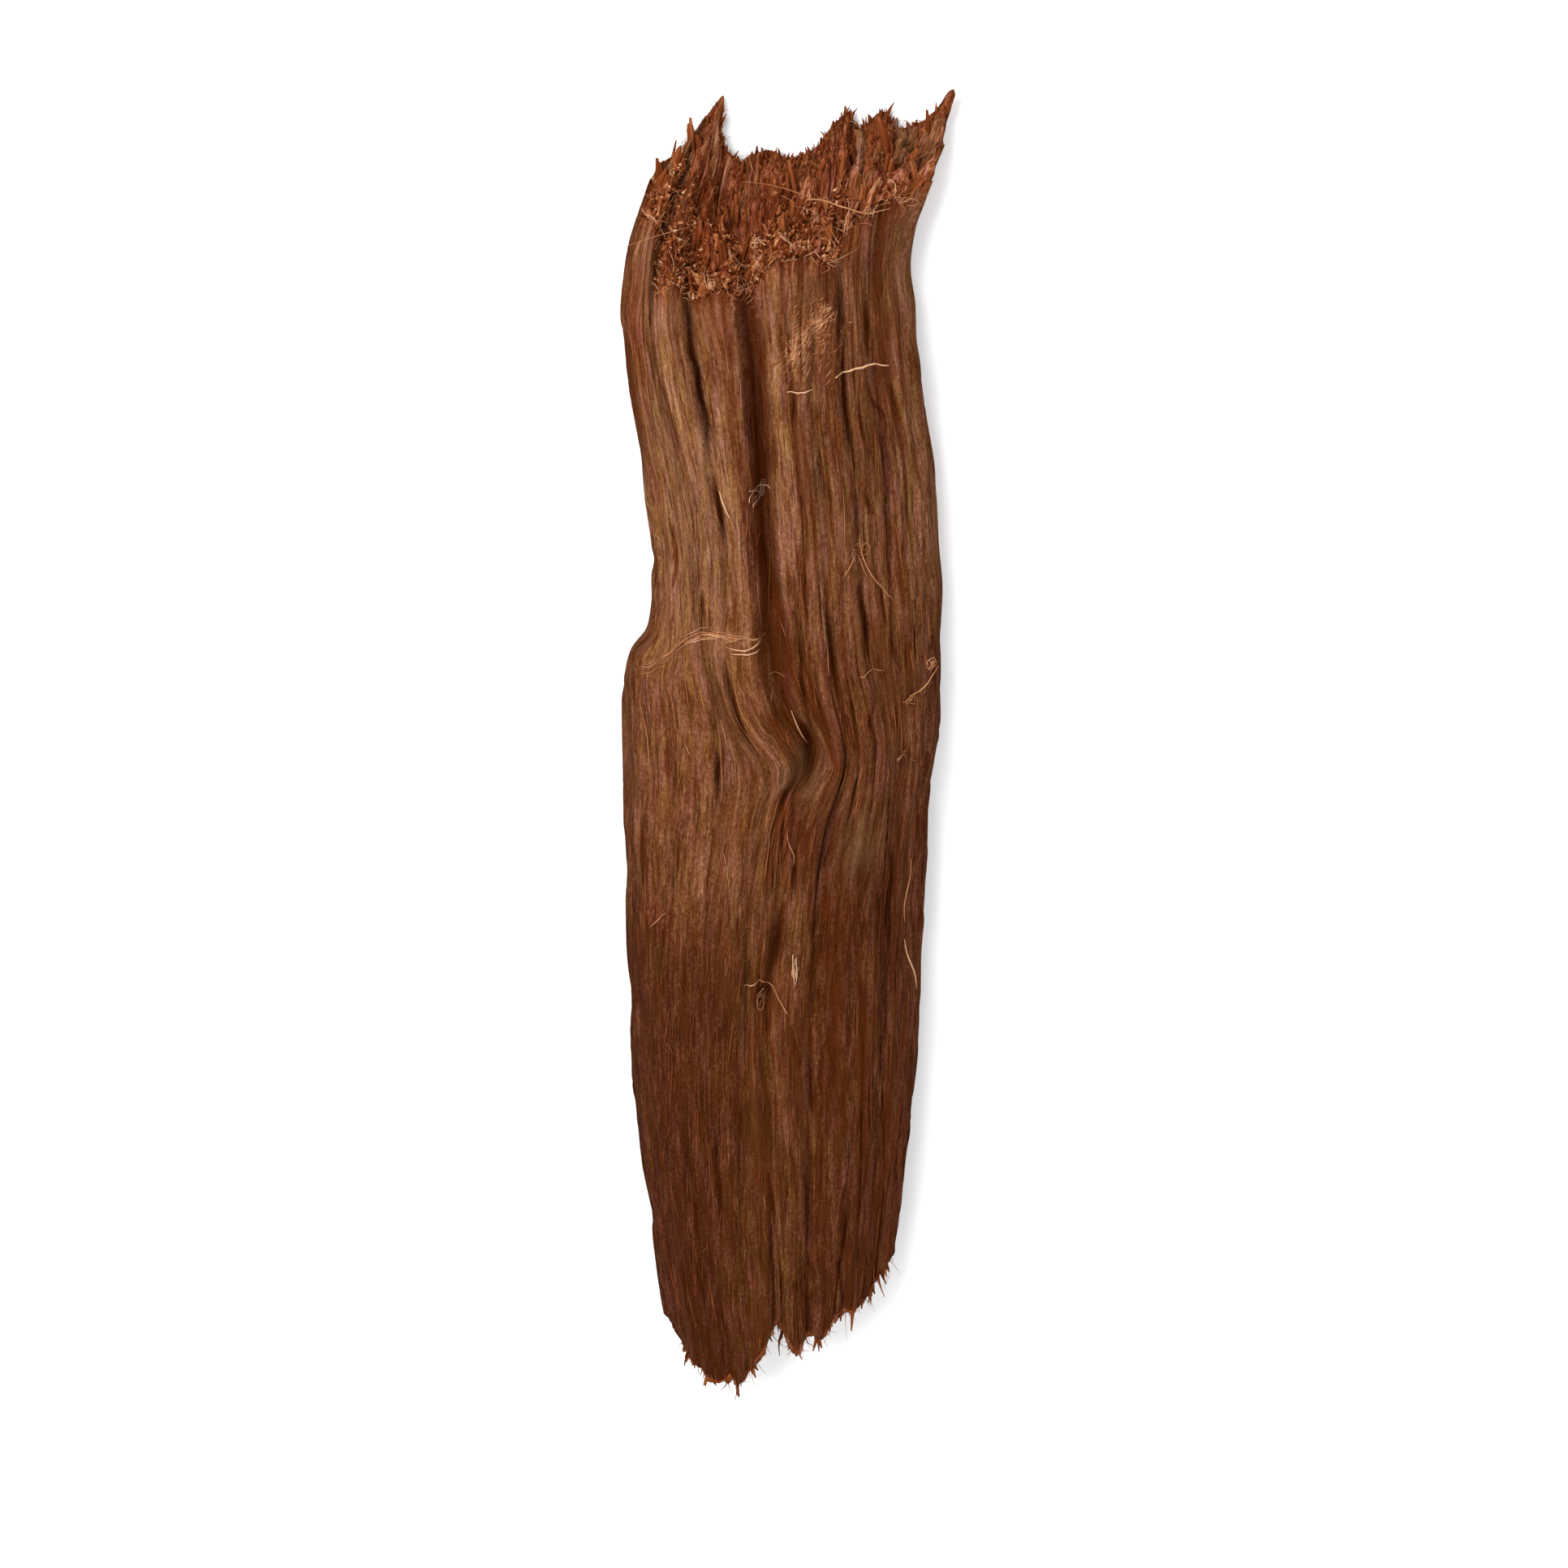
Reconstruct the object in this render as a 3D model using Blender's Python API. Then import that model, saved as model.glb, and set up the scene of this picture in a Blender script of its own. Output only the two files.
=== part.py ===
"""A torn slab of Indian kino bark, lying on its inner face with its furrowed outer face up.

The slab is one solid. It is worked out as a block with three parameters: across, from the left
edge to the right; deep, from the outer face to the inner; and along, from the broken foot to the
torn top. The grain lines run along the block, so furrows and cracks lie on lines of equal across.
Sizes are in millimetres until the points are put into the mesh, which is in metres.
"""

import bmesh
import bpy
import numpy as np
from mathutils import Matrix, Vector

MM = 0.001

# Driving dimensions, in millimetres.
LENGTH = 147.0
TEAR_REACH = 42.0
FOOT_REACH = 32.0
EDGE_BULGE = 0.8
EDGE_INSET = 0.6
CROWN_POWER = 2.4
TILT_TO_RIGHT = 0.7
HOLLOW = 1.7
KEEL_SIDE = 0.68
ARCH = 1.3
ARCH_SPAN = 104.0
ARCH_MIDDLE = 72.0
REST_CUT = 0.42
PAD_HAIR = 0.03

# How finely the block is cut before it is thinned to its budget of triangles.
COLUMNS = 88
LAYERS = 14
ROWS = 150
TRIANGLES = 9400

# Grain lines, as (along, across) from the foot upwards. The first and last are the slab's edges.
LEFT_EDGE = [
    (0, -12.4), (8, -13.4), (18, -14.8), (30, -16.0), (42, -16.9), (55, -17.2), (70, -17.1),
    (80, -17.1), (86, -17.0), (88.2, -16.4), (90.6, -14.6), (93, -14.0), (97, -13.8),
    (102, -14.0), (108, -14.4), (115.5, -15.7), (121, -16.4), (126, -16.7), (130, -16.2),
    (134, -15.5), (138, -14.4), (141.4, -12.7), (144.5, -10.6), (147.5, -8.5), (150, -6.9),
]
LEFT_LOBE = [
    (0, -7.6), (20, -9.0), (35, -9.4), (49, -9.2), (60, -8.6), (68, -7.8), (74, -7.0), (81, -6.9),
    (86, -7.8), (91.6, -9.0), (97, -9.3), (103, -9.6), (108.4, -10.2), (115.6, -11.7),
    (121.4, -12.8), (127, -13.4), (134, -12.9), (138, -11.9), (142, -10.0), (147.5, -7.2),
    (150, -6.0),
]
LEFT_CRACK = [
    (0, -3.8), (20, -4.4), (35, -4.6), (49, -4.3), (59.7, -3.8), (66, -3.2), (72.5, -2.3),
    (76, -1.3), (78.5, -1.5), (80.4, -2.8), (83.6, -4.7), (88.5, -5.8), (91.6, -6.0), (97, -5.8),
    (103.3, -6.0), (108.4, -6.7), (115.6, -7.9), (121.4, -8.8), (127, -9.6), (133, -9.9),
    (138, -8.9), (142, -7.6), (147.5, -6.0), (150, -5.2),
]
MAIN_FURROW = [
    (0, -0.6), (20, -0.8), (35, -1.2), (48, -1.6), (52.5, -1.5), (56.7, -1.0), (63.9, -0.4),
    (69.3, -0.1), (72, 0.4), (74.6, 1.3), (76.7, 2.7), (79.1, 3.4), (81.3, 2.4), (84.2, 0.7),
    (87.9, -0.6), (93.8, -1.0), (100, -1.4), (106.5, -1.9), (113, -2.3), (119.3, -2.6),
    (123.5, -2.8), (128.3, -3.4), (136, -3.7), (143, -3.0), (150, -2.0),
]
MIDDLE_CRACK = [
    (0, 2.8), (20, 3.0), (35, 3.2), (49, 3.2), (55.4, 3.5), (61.8, 4.0), (68.2, 4.7), (71.8, 5.5),
    (75.2, 6.5), (78.6, 7.2), (82, 6.9), (86.4, 6.0), (91.7, 5.3), (97, 4.8), (101.8, 4.6),
    (106.3, 4.3), (110.8, 3.8), (117.2, 3.3), (129, 3.4), (138, 3.8), (150, 5.0),
]
RIGHT_CRACK = [
    (0, 6.4), (20, 7.2), (35, 7.8), (49, 8.0), (59.7, 8.4), (68.2, 9.2), (74.6, 10.2), (80, 10.6),
    (85.2, 10.2), (90, 9.1), (96, 8.6), (104.4, 8.2), (111, 7.6), (117.3, 6.8), (127.4, 6.3),
    (134, 6.2), (138.4, 6.8), (150, 8.5),
]
OUTER_CRACK = [
    (0, 8.8), (20, 10.2), (35, 11.0), (49, 11.3), (59.7, 11.6), (66, 12.0), (72.4, 12.7),
    (79, 13.2), (85.2, 13.0), (91.6, 12.4), (99, 11.7), (107.6, 11.2), (113, 10.8), (117.3, 10.3),
    (122.6, 9.8), (127.8, 9.3), (134, 9.4), (138.4, 10.2), (150, 14.0),
]
RIGHT_EDGE = [
    (0, 11.2), (8, 12.2), (18, 13.4), (30, 14.4), (42, 15.0), (55, 15.3), (62, 15.4), (72, 16.0),
    (77, 16.7), (82, 17.1), (90, 17.2), (97, 17.0), (103, 16.6), (109, 16.1), (115.5, 15.0),
    (120, 14.5), (126, 13.7), (130.5, 13.2), (134, 13.7), (138, 14.8), (144, 16.7), (150, 18.6),
]
GRAIN_LINES = (
    LEFT_EDGE, LEFT_LOBE, LEFT_CRACK, MAIN_FURROW, MIDDLE_CRACK, RIGHT_CRACK, OUTER_CRACK,
    RIGHT_EDGE,
)
LINE_SHARES = (0.0, 0.18, 0.32, 0.46, 0.64, 0.76, 0.87, 1.0)

# Heights above the surface that the slab lies on, as (along, height).
CREST = [(0, 9.0), (12, 10.8), (32, 12.2), (56, 13.0), (80, 13.4), (100, 12.4), (120, 12.8), (150, 12.6)]
SHOULDER = [(0, 4.4), (30, 5.4), (60, 5.8), (90, 5.0), (125, 5.2), (150, 4.0)]

# How far each strand between two grain lines swells above the crown.
STRAND_SWELL = (0.6, 0.6, 0.8, 1.2, 0.8, 0.7, 0.6)

# Where the strands bend round the lobe's tongue they lie flatter.
BEND_MIDDLE = 79.0
BEND_REACH = 13.0
BEND_FLATTENS = 0.5

# Each crack lies on one grain line: (line, half width, depth by along).
CRACKS = (
    (1, 0.42, [(0, 0.0), (68, 0.0), (73, 1.1), (81, 1.1), (86, 0.0), (108, 0.0), (116, 0.9),
               (128, 1.1), (135, 0.4), (150, 0.3)]),
    (2, 0.42, [(0, 0.4), (30, 0.2), (62, 0.1), (74, 0.2), (79, 0.6), (87, 0.6), (91, 0.2),
               (98, 0.5), (104, 1.4), (118, 1.9), (128, 1.9), (134, 1.0), (150, 0.6)]),
    (3, 1.15, [(0, 0.2), (60, 0.2), (70, 0.5), (76, 2.0), (80, 3.2), (88, 3.5), (104, 3.7),
               (124, 3.5), (128.5, 2.2), (131, 0.6), (150, 0.4)]),
    (3, 2.80, [(0, 0.5), (30, 0.9), (44, 1.2), (50, 2.0), (56, 1.6), (63, 1.5), (70, 1.6),
               (76, 0.9), (80, 0.3), (84, 0.0), (150, 0.0)]),
    (4, 0.45, [(0, 0.2), (60, 0.2), (70, 0.4), (78, 0.9), (86, 1.0), (96, 0.8), (108, 1.0),
               (116, 0.4), (150, 0.2)]),
    (5, 0.50, [(0, 0.4), (60, 0.3), (70, 0.4), (80, 0.8), (90, 0.8), (98, 0.7), (112, 1.3),
               (128, 1.5), (136, 0.7), (150, 0.4)]),
    (6, 0.65, [(0, 0.3), (48, 1.0), (66, 1.0), (74, 0.5), (88, 0.7), (100, 0.6), (112, 1.5),
               (126, 1.7), (136, 1.0), (150, 0.8)]),
)
FURROW = 3
CRACK_RHYTHM = 6.5
CRACK_CHANGE = 0.4

# Small hollows and swellings: (along, across, half length, half width, height).
DIMPLES = (
    (80.6, 3.3, 4.2, 1.3, -2.0),
    (79.2, 1.0, 2.6, 1.6, 1.3),
    (79.5, 6.0, 6.0, 1.2, 1.0),
    (55.6, 0.2, 3.6, 1.4, -1.9),
    (50.4, -2.2, 1.5, 1.3, -1.6),
    (73.6, 1.6, 3.4, 0.8, -1.0),
    (124.6, 2.4, 3.6, 3.0, -0.6),
    (131.2, 2.0, 3.2, 3.6, 0.8),
    (66.0, -9.0, 16.0, 6.0, 0.8),
    (30.0, 6.0, 5.0, 2.2, 0.9),
    (84.4, 13.9, 1.4, 0.8, -1.1),
    (78.0, 13.5, 1.2, 0.7, -1.0),
)

# The left lobe ends upwards in an overlapping skin, along a curve of (across, along).
SKIN_EDGE = [
    (-17.5, 87.6), (-15.9, 88.0), (-14.2, 88.5), (-12.3, 90.0), (-10.0, 92.5), (-8.1, 93.4),
    (-2.1, 92.8),
]
SKIN_THICK = 0.75
SKIN_FADE = 24.0

# Where the outer face and the inner face end at the torn top, as (share across, along).
TORN_OUTER = [
    (0.00, 136.0), (0.06, 137.5), (0.13, 136.0), (0.19, 129.8), (0.26, 130.8), (0.33, 129.2),
    (0.41, 130.4), (0.46, 128.8), (0.49, 131.2), (0.53, 133.2), (0.60, 133.8), (0.68, 133.4),
    (0.735, 133.6), (0.78, 136.2), (0.84, 137.6), (0.90, 138.8), (0.96, 138.2), (1.00, 140.0),
]
TORN_INNER = [
    (0.00, 140.6), (0.04, 142.0), (0.07, 141.4), (0.10, 143.6), (0.15, 145.8), (0.20, 147.4),
    (0.26, 148.4), (0.30, 147.6), (0.34, 144.6), (0.38, 142.6), (0.43, 141.6), (0.50, 142.8),
    (0.57, 141.8), (0.63, 143.4), (0.68, 145.8), (0.72, 146.8), (0.76, 144.8), (0.82, 147.0),
    (0.87, 145.2), (0.92, 145.6), (0.96, 147.0), (0.985, 149.4), (1.00, 148.6),
]
FOOT_RISE = [
    (0.00, 6.5), (0.08, 3.0), (0.18, 0.6), (0.29, 1.6), (0.38, 4.6), (0.46, 8.6), (0.55, 6.0),
    (0.66, 7.4), (0.78, 10.6), (0.90, 12.2), (1.00, 15.5),
]

# How the torn end rises from the outer face's end to the inner face's, as (share across, power
# of the depth): under 1 the slab stays thick almost to its end, over 1 it thins out.
TEAR_POWER = [(0.0, 0.8), (0.15, 0.8), (0.27, 0.9), (0.36, 1.4), (0.62, 1.5), (0.72, 1.1), (1.0, 0.9)]
LEDGE = 0.035
BUNDLE_REACH = 1.5
RIM_DROP = 2.0
RIM_REACH = 2.4

# Splinters that stand out of the torn top and out of the broken foot.
SPLINTERS = 38
SPLINTER_LENGTH = (4.0, 7.0)
SPLINTER_RADIUS = (0.40, 0.62)
SPLINTER_WIDENING = 1.7
SPLINTER_DEEP = (0.10, 0.80)
SPLINTER_AT_RIM = 0.42
FOOT_SPLINTER_SHARE = 0.6
FOOT_SPLINTERS = 9

SEED = 41


def through(points, at):
    """A smooth curve through (place, value) points: cubic pieces whose slope at each point is the
    mean of the slopes on its two sides."""
    place, value = np.array(points, float).T
    at = np.clip(at, place[0], place[-1])
    rise = np.diff(value) / np.diff(place)
    slope = np.concatenate([rise[:1], (rise[:-1] + rise[1:]) / 2, rise[-1:]])
    left = np.clip(np.searchsorted(place, at, side="right") - 1, 0, len(place) - 2)
    span = place[left + 1] - place[left]
    t = (at - place[left]) / span
    return (
        value[left] * (1 + 2 * t) * (1 - t) ** 2
        + value[left + 1] * t**2 * (3 - 2 * t)
        + span * t * (1 - t) * (slope[left] * (1 - t) - slope[left + 1] * t)
    )


def lattice_noise(a, b, seed):
    """Smooth noise from -1 to 1: random values on a square lattice, eased between its points."""
    values = np.random.default_rng(SEED * 100 + seed).uniform(-1, 1, (64, 64))
    low_a, low_b = np.floor(a).astype(int), np.floor(b).astype(int)
    ta, tb = a - low_a, b - low_b
    ta, tb = ta * ta * (3 - 2 * ta), tb * tb * (3 - 2 * tb)
    a0, a1, b0, b1 = low_a % 64, (low_a + 1) % 64, low_b % 64, (low_b + 1) % 64
    return (values[a0, b0] * (1 - ta) + values[a1, b0] * ta) * (1 - tb) + (
        values[a0, b1] * (1 - ta) + values[a1, b1] * ta
    ) * tb


def across_of(share, along):
    """The place across, where the grain line of this share lies at this place along."""
    lines = np.array([through(line, along) for line in GRAIN_LINES])
    shares = np.array(LINE_SHARES)
    strand = np.clip(np.searchsorted(shares, share, side="right") - 1, 0, len(shares) - 2)
    t = (share - shares[strand]) / (shares[strand + 1] - shares[strand])
    here = np.arange(len(share))
    return lines[strand, here] * (1 - t) + lines[strand + 1, here] * t


def swell_of(share, along):
    """A rounded back on each strand between two grain lines, flatter at the bend."""
    shares = np.array(LINE_SHARES)
    strand = np.clip(np.searchsorted(shares, share, side="right") - 1, 0, len(shares) - 2)
    t = (share - shares[strand]) / (shares[strand + 1] - shares[strand])
    flatter = 1 - BEND_FLATTENS * np.exp(-(((along - BEND_MIDDLE) / BEND_REACH) ** 2))
    return flatter * np.array(STRAND_SWELL)[strand] * np.sin(np.pi * np.clip(t, 0, 1)) ** 0.8


def skin_step(across, along):
    """The raised overlapping skin below its torn upper edge, on the left lobe."""
    edge = through(SKIN_EDGE, across) + 0.8 * lattice_noise(across * 0.9, along * 0.0, 11)
    below = np.clip((edge - along) / 0.9, 0, 1)
    fade = np.clip((along - edge + SKIN_FADE) / SKIN_FADE, 0, 1)
    inside = np.clip((SKIN_EDGE[-1][0] + 1.0 - across) / 2.0, 0, 1)
    return SKIN_THICK * below * fade * inside


def outer_height(share, across, along):
    """The outer face: a crown between two shoulders, swollen strands, furrows, cracks and fibres."""
    side = 2 * share - 1
    crown = (1 - np.abs(side) ** CROWN_POWER) ** 0.62
    shoulder = through(SHOULDER, along)
    height = shoulder + (through(CREST, along) - shoulder) * crown - TILT_TO_RIGHT * side * crown
    height += swell_of(share, along) * crown
    for line, half_width, depths in CRACKS:
        middle = through(GRAIN_LINES[line], along) + 0.25 * lattice_noise(
            along * 0.35, share * 0.0 + line, 5
        )
        nearness = np.exp(-np.abs((across - middle) / half_width) ** 2.6)
        if line != FURROW:
            rhythm = lattice_noise(along / CRACK_RHYTHM, share * 0.0 + 3.7 * line, 13)
            nearness *= 1 - CRACK_CHANGE + CRACK_CHANGE * rhythm
        height -= np.clip(through(depths, along), 0, None) * nearness
    for place, middle, half_length, half_width, rise in DIMPLES:
        spread = ((along - place) / half_length) ** 2 + ((across - middle) / half_width) ** 2
        height += rise * np.exp(-spread)
    height += skin_step(across, along)
    to_rim = np.clip(through(TORN_OUTER, share) - along, 0, None)
    height -= RIM_DROP * np.exp(-to_rim / RIM_REACH) * crown
    coarse = lattice_noise(share * 13, along / 26 + share * 8, 1)
    fine = 1 - 2 * np.abs(lattice_noise(share * 24, along / 17 + share * 15, 2))
    return height + crown * (0.45 * coarse + 0.30 * fine)


def inner_height(share, along):
    """The inner face: hollow across, rounded up to both edges, arched along, and planed flat
    where it rests at height 0."""
    side = 2 * share - 1
    across = ((side**2 - KEEL_SIDE**2) / (1 - KEEL_SIDE**2)) ** 2
    arch = ARCH * (1 + np.cos(2 * np.pi * (along - ARCH_MIDDLE) / ARCH_SPAN)) / 2
    grain = 0.30 * lattice_noise(share * 15, along / 30, 3)
    return np.clip(HOLLOW * across + arch + grain - REST_CUT, 0, None)


def torn_top(share, deep):
    """Where the slab ends at the top: the inner bark reaches further than the outer, in ledges."""
    outer, inner = through(TORN_OUTER, share), through(TORN_INNER, share)
    bundles = lattice_noise(share * 26, deep * 4, 6) * np.sin(np.pi * deep) ** 0.5
    ledges = deep - LEDGE * np.sin(2 * np.pi * (4 * deep + 0.3 * lattice_noise(share * 9, deep, 12)))
    power = through(TEAR_POWER, share)
    return outer + (inner - outer) * np.clip(ledges, 0, 1) ** power + BUNDLE_REACH * bundles


def broken_foot(share, deep):
    """Where the slab ends at the foot: an uneven break, a little longer at the outer face."""
    bundles = lattice_noise(share * 17, deep * 3, 7)
    return through(FOOT_RISE, share) + 1.6 * deep + 0.9 * bundles


def edge_shift(side, along, height):
    """How far the two long edges stand out at each height: a bulge, thin layers and nibbles."""
    bulge = EDGE_BULGE * np.exp(-(((height - 2.8) / 2.2) ** 2))
    layers = 0.40 * lattice_noise(height * 0.9 + 9 * np.sign(side), along / 15, 8)
    nibbles = 0.20 * lattice_noise(along / 5.3, 7 * np.sign(side), 9)
    return side * np.abs(side) ** 3 * (bulge + layers + nibbles - EDGE_INSET)


def slab_places(share, deep, rise):
    """The points, in millimetres, of the block's three parameters, each from 0 to 1."""
    along = LENGTH * rise
    to_top = np.clip((along - LENGTH + TEAR_REACH) / TEAR_REACH, 0, 1) ** 1.3
    to_foot = np.clip((FOOT_REACH - along) / FOOT_REACH, 0, 1)
    along = along + (torn_top(share, deep) - LENGTH) * to_top + broken_foot(share, deep) * to_foot
    across = across_of(share, along)
    outer = outer_height(share, across, along)
    inner = inner_height(share, along)
    height = outer + (inner - outer) * deep
    across = across + edge_shift(2 * share - 1, along, height)
    return np.column_stack([across, along, height])


def block_faces(index):
    """The quads on the six sides of a block of numbered points."""
    sides = [index[:, :, 0], index[:, :, -1], index[:, 0], index[:, -1], index[0], index[-1]]
    quads = [
        np.stack([s[:-1, :-1], s[1:, :-1], s[1:, 1:], s[:-1, 1:]], axis=-1).reshape(-1, 4)
        for s in sides
    ]
    return np.concatenate(quads)


def build_slab(collection):
    """The slab, cut finely and then thinned to its budget of triangles."""
    shape = (COLUMNS + 1, LAYERS + 1, ROWS + 1)
    i, j, k = np.indices(shape)
    on_surface = (i % COLUMNS == 0) | (j % LAYERS == 0) | (k % ROWS == 0)
    index = np.full(shape, -1)
    index[on_surface] = np.arange(on_surface.sum())
    even, deep, rise = i[on_surface] / COLUMNS, j[on_surface] / LAYERS, k[on_surface] / ROWS
    share = 0.45 * even + 0.55 * (1 - np.cos(np.pi * even)) / 2
    places = slab_places(share, deep, rise)
    mesh = bpy.data.meshes.new("kino_bark")
    mesh.from_pydata((places * MM).tolist(), [], block_faces(index).tolist())
    slab = bpy.data.objects.new("kino_bark", mesh)
    collection.objects.link(slab)
    with_normals_out(mesh)
    thin = slab.modifiers.new("thin", "DECIMATE")
    thin.ratio = TRIANGLES / (2 * len(mesh.polygons))
    thin.use_collapse_triangulate = True
    return slab


def with_normals_out(mesh):
    work = bmesh.new()
    work.from_mesh(mesh)
    bmesh.ops.recalc_face_normals(work, faces=work.faces)
    work.to_mesh(mesh)
    work.free()


def add_splinter(collection, root, direction, length, radius):
    """A four-sided tapered splinter, with its root sunk into the slab."""
    work = bmesh.new()
    bmesh.ops.create_cone(
        work, cap_ends=True, segments=4, radius1=radius * MM, radius2=0.3 * radius * MM,
        depth=length * MM,
    )
    mesh = bpy.data.meshes.new("splinter")
    work.to_mesh(mesh)
    work.free()
    widen = Matrix.Diagonal((SPLINTER_WIDENING, 1, 1, 1))
    turn = Vector(direction).to_track_quat("Z", "Y").to_matrix().to_4x4()
    middle = Vector(root) + Vector(direction).normalized() * (0.22 * length)
    mesh.transform(Matrix.Translation(middle * MM) @ turn @ widen)
    splinter = bpy.data.objects.new("splinter", mesh)
    collection.objects.link(splinter)


def build_splinters(collection):
    """Splinters rooted at places spread evenly over the torn top and the broken foot. At the top
    they are shorter towards the outer rim, where the break is crumbled."""
    draw = np.random.default_rng(SEED)
    for n in range(SPLINTERS + FOOT_SPLINTERS):
        at_top = n < SPLINTERS
        step = (n + 0.5) / SPLINTERS if at_top else (n - SPLINTERS + 0.5) / FOOT_SPLINTERS
        share = np.clip(step + draw.uniform(-0.015, 0.015), 0.05, 0.95)
        inward = (n * 0.618) % 1
        deep = SPLINTER_DEEP[0] + (SPLINTER_DEEP[1] - SPLINTER_DEEP[0]) * inward
        root = slab_places(*np.array([[share], [deep], [1.0 if at_top else 0.0]]))[0]
        heading = 1 if at_top else -1
        lean = (draw.uniform(-0.25, 0.25), heading, draw.uniform(0.0, 0.35))
        shorter = SPLINTER_AT_RIM + (1 - SPLINTER_AT_RIM) * inward if at_top else FOOT_SPLINTER_SHARE
        length = draw.uniform(*SPLINTER_LENGTH) * shorter
        add_splinter(collection, root, lean, length, draw.uniform(*SPLINTER_RADIUS))


def join_splinters(slab, splinters):
    """The splinters made one solid with the slab."""
    join = slab.modifiers.new("join", "BOOLEAN")
    join.operation = "UNION"
    join.operand_type = "COLLECTION"
    join.collection = splinters
    join.solver = "EXACT"
    graph = bpy.context.evaluated_depsgraph_get()
    joined = bpy.data.meshes.new_from_object(slab.evaluated_get(graph))
    slab.modifiers.clear()
    slab.data = joined
    for splinter in list(splinters.objects):
        bpy.data.objects.remove(splinter)
    bpy.data.collections.remove(splinters)


def stand_over_origin(slab):
    """Moves the mesh so that the middle of its box lies over the origin, and sets the points of
    the planed pads, which thinning moved by a hair, back at height 0."""
    for point in slab.data.vertices:
        if point.co.z < PAD_HAIR * MM:
            point.co.z = 0.0
    slab.data.update()
    corners = np.array(slab.bound_box)
    middle = (corners.min(0) + corners.max(0)) / 2
    slab.data.transform(Matrix.Translation((-middle[0], -middle[1], 0)))
    slab.data.update()


def bark_material():
    material = bpy.data.materials.new("bark")
    material.use_nodes = True
    surface = material.node_tree.nodes["Principled BSDF"]
    surface.inputs["Base Color"].default_value = (0.20, 0.085, 0.035, 1)
    surface.inputs["Roughness"].default_value = 0.85
    surface.inputs["Metallic"].default_value = 0.0
    return material


def main():
    for old in list(bpy.data.objects):
        bpy.data.objects.remove(old)
    bark = bpy.data.collections.new("kino_bark")
    splinters = bpy.data.collections.new("splinters")
    bpy.context.scene.collection.children.link(bark)
    bpy.context.scene.collection.children.link(splinters)
    slab = build_slab(bark)
    build_splinters(splinters)
    join_splinters(slab, splinters)
    stand_over_origin(slab)
    slab.data.materials.clear()
    slab.data.materials.append(bark_material())
    slab.data.shade_smooth()
    slab.data.set_sharp_from_angle(angle=0.9)


main()
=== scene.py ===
"""A torn slab of Indian kino bark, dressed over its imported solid.

The slab lies on its inner face with its furrowed outer face up. Its surface is worked out again
from the same forms as the solid, much finer, and bundles, flakes, splinters, threads and hairs
are added. Sizes are in millimetres until points are put into a mesh, which is in metres.
"""

import logging
import math
from dataclasses import dataclass, field
from enum import Enum, auto

import bmesh
import bpy
import numpy as np
from mathutils import Matrix, Vector


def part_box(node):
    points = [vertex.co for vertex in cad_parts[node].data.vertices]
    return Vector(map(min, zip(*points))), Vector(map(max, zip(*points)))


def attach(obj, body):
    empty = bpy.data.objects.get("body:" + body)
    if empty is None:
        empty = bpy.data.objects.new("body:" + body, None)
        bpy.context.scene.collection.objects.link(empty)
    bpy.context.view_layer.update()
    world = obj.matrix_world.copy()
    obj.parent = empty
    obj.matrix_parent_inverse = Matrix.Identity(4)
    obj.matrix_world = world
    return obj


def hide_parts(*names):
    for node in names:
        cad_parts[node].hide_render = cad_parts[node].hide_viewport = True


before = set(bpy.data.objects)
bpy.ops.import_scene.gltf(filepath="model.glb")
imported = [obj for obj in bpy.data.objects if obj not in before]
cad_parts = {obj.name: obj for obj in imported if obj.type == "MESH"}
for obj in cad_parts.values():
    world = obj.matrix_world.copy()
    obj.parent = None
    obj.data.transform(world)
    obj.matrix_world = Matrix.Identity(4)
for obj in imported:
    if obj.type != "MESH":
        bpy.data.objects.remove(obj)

Array = np.ndarray
Curve = tuple[tuple[float, float], ...]
Colour = tuple[float, float, float]
Stops = tuple[tuple[float, Colour], ...]
Span = tuple[float, float]

LOG = logging.getLogger("kino_bark")
MM = 0.001
NODE = "kino_bark"
BODY = "root"
SEED = 41
NOISE_SEED = SEED * 100
SPLINTER_SEED = SEED + 1
FACE_SEED = SEED + 7
FIBRE_SEED = SEED + 100
BOX_MARGIN = 0.01


class End(Enum):
    """The slab's two broken ends, each as its place from the foot to the top."""

    FOOT = 0.0
    TOP = 1.0

    @property
    def heading(self) -> float:
        """Which way the end faces along the slab."""
        return 2 * self.value - 1


def through(points: Curve, at: Array) -> Array:
    """A smooth curve through points: cubic pieces whose slope at each point is the mean of the
    slopes on its two sides.

    Args:
        points: (place, value) pairs, in order of place.
        at: the places to read the curve at.

    Returns:
        The value at each place.
    """
    place, value = np.array(points, float).T
    at = np.clip(at, place[0], place[-1])
    rise = np.diff(value) / np.diff(place)
    slope = np.concatenate([rise[:1], (rise[:-1] + rise[1:]) / 2, rise[-1:]])
    left = np.clip(np.searchsorted(place, at, side="right") - 1, 0, len(place) - 2)
    span = place[left + 1] - place[left]
    t = (at - place[left]) / span
    return (
        value[left] * (1 + 2 * t) * (1 - t) ** 2
        + value[left + 1] * t**2 * (3 - 2 * t)
        + span * t * (1 - t) * (slope[left] * (1 - t) - slope[left + 1] * t)
    )


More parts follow.
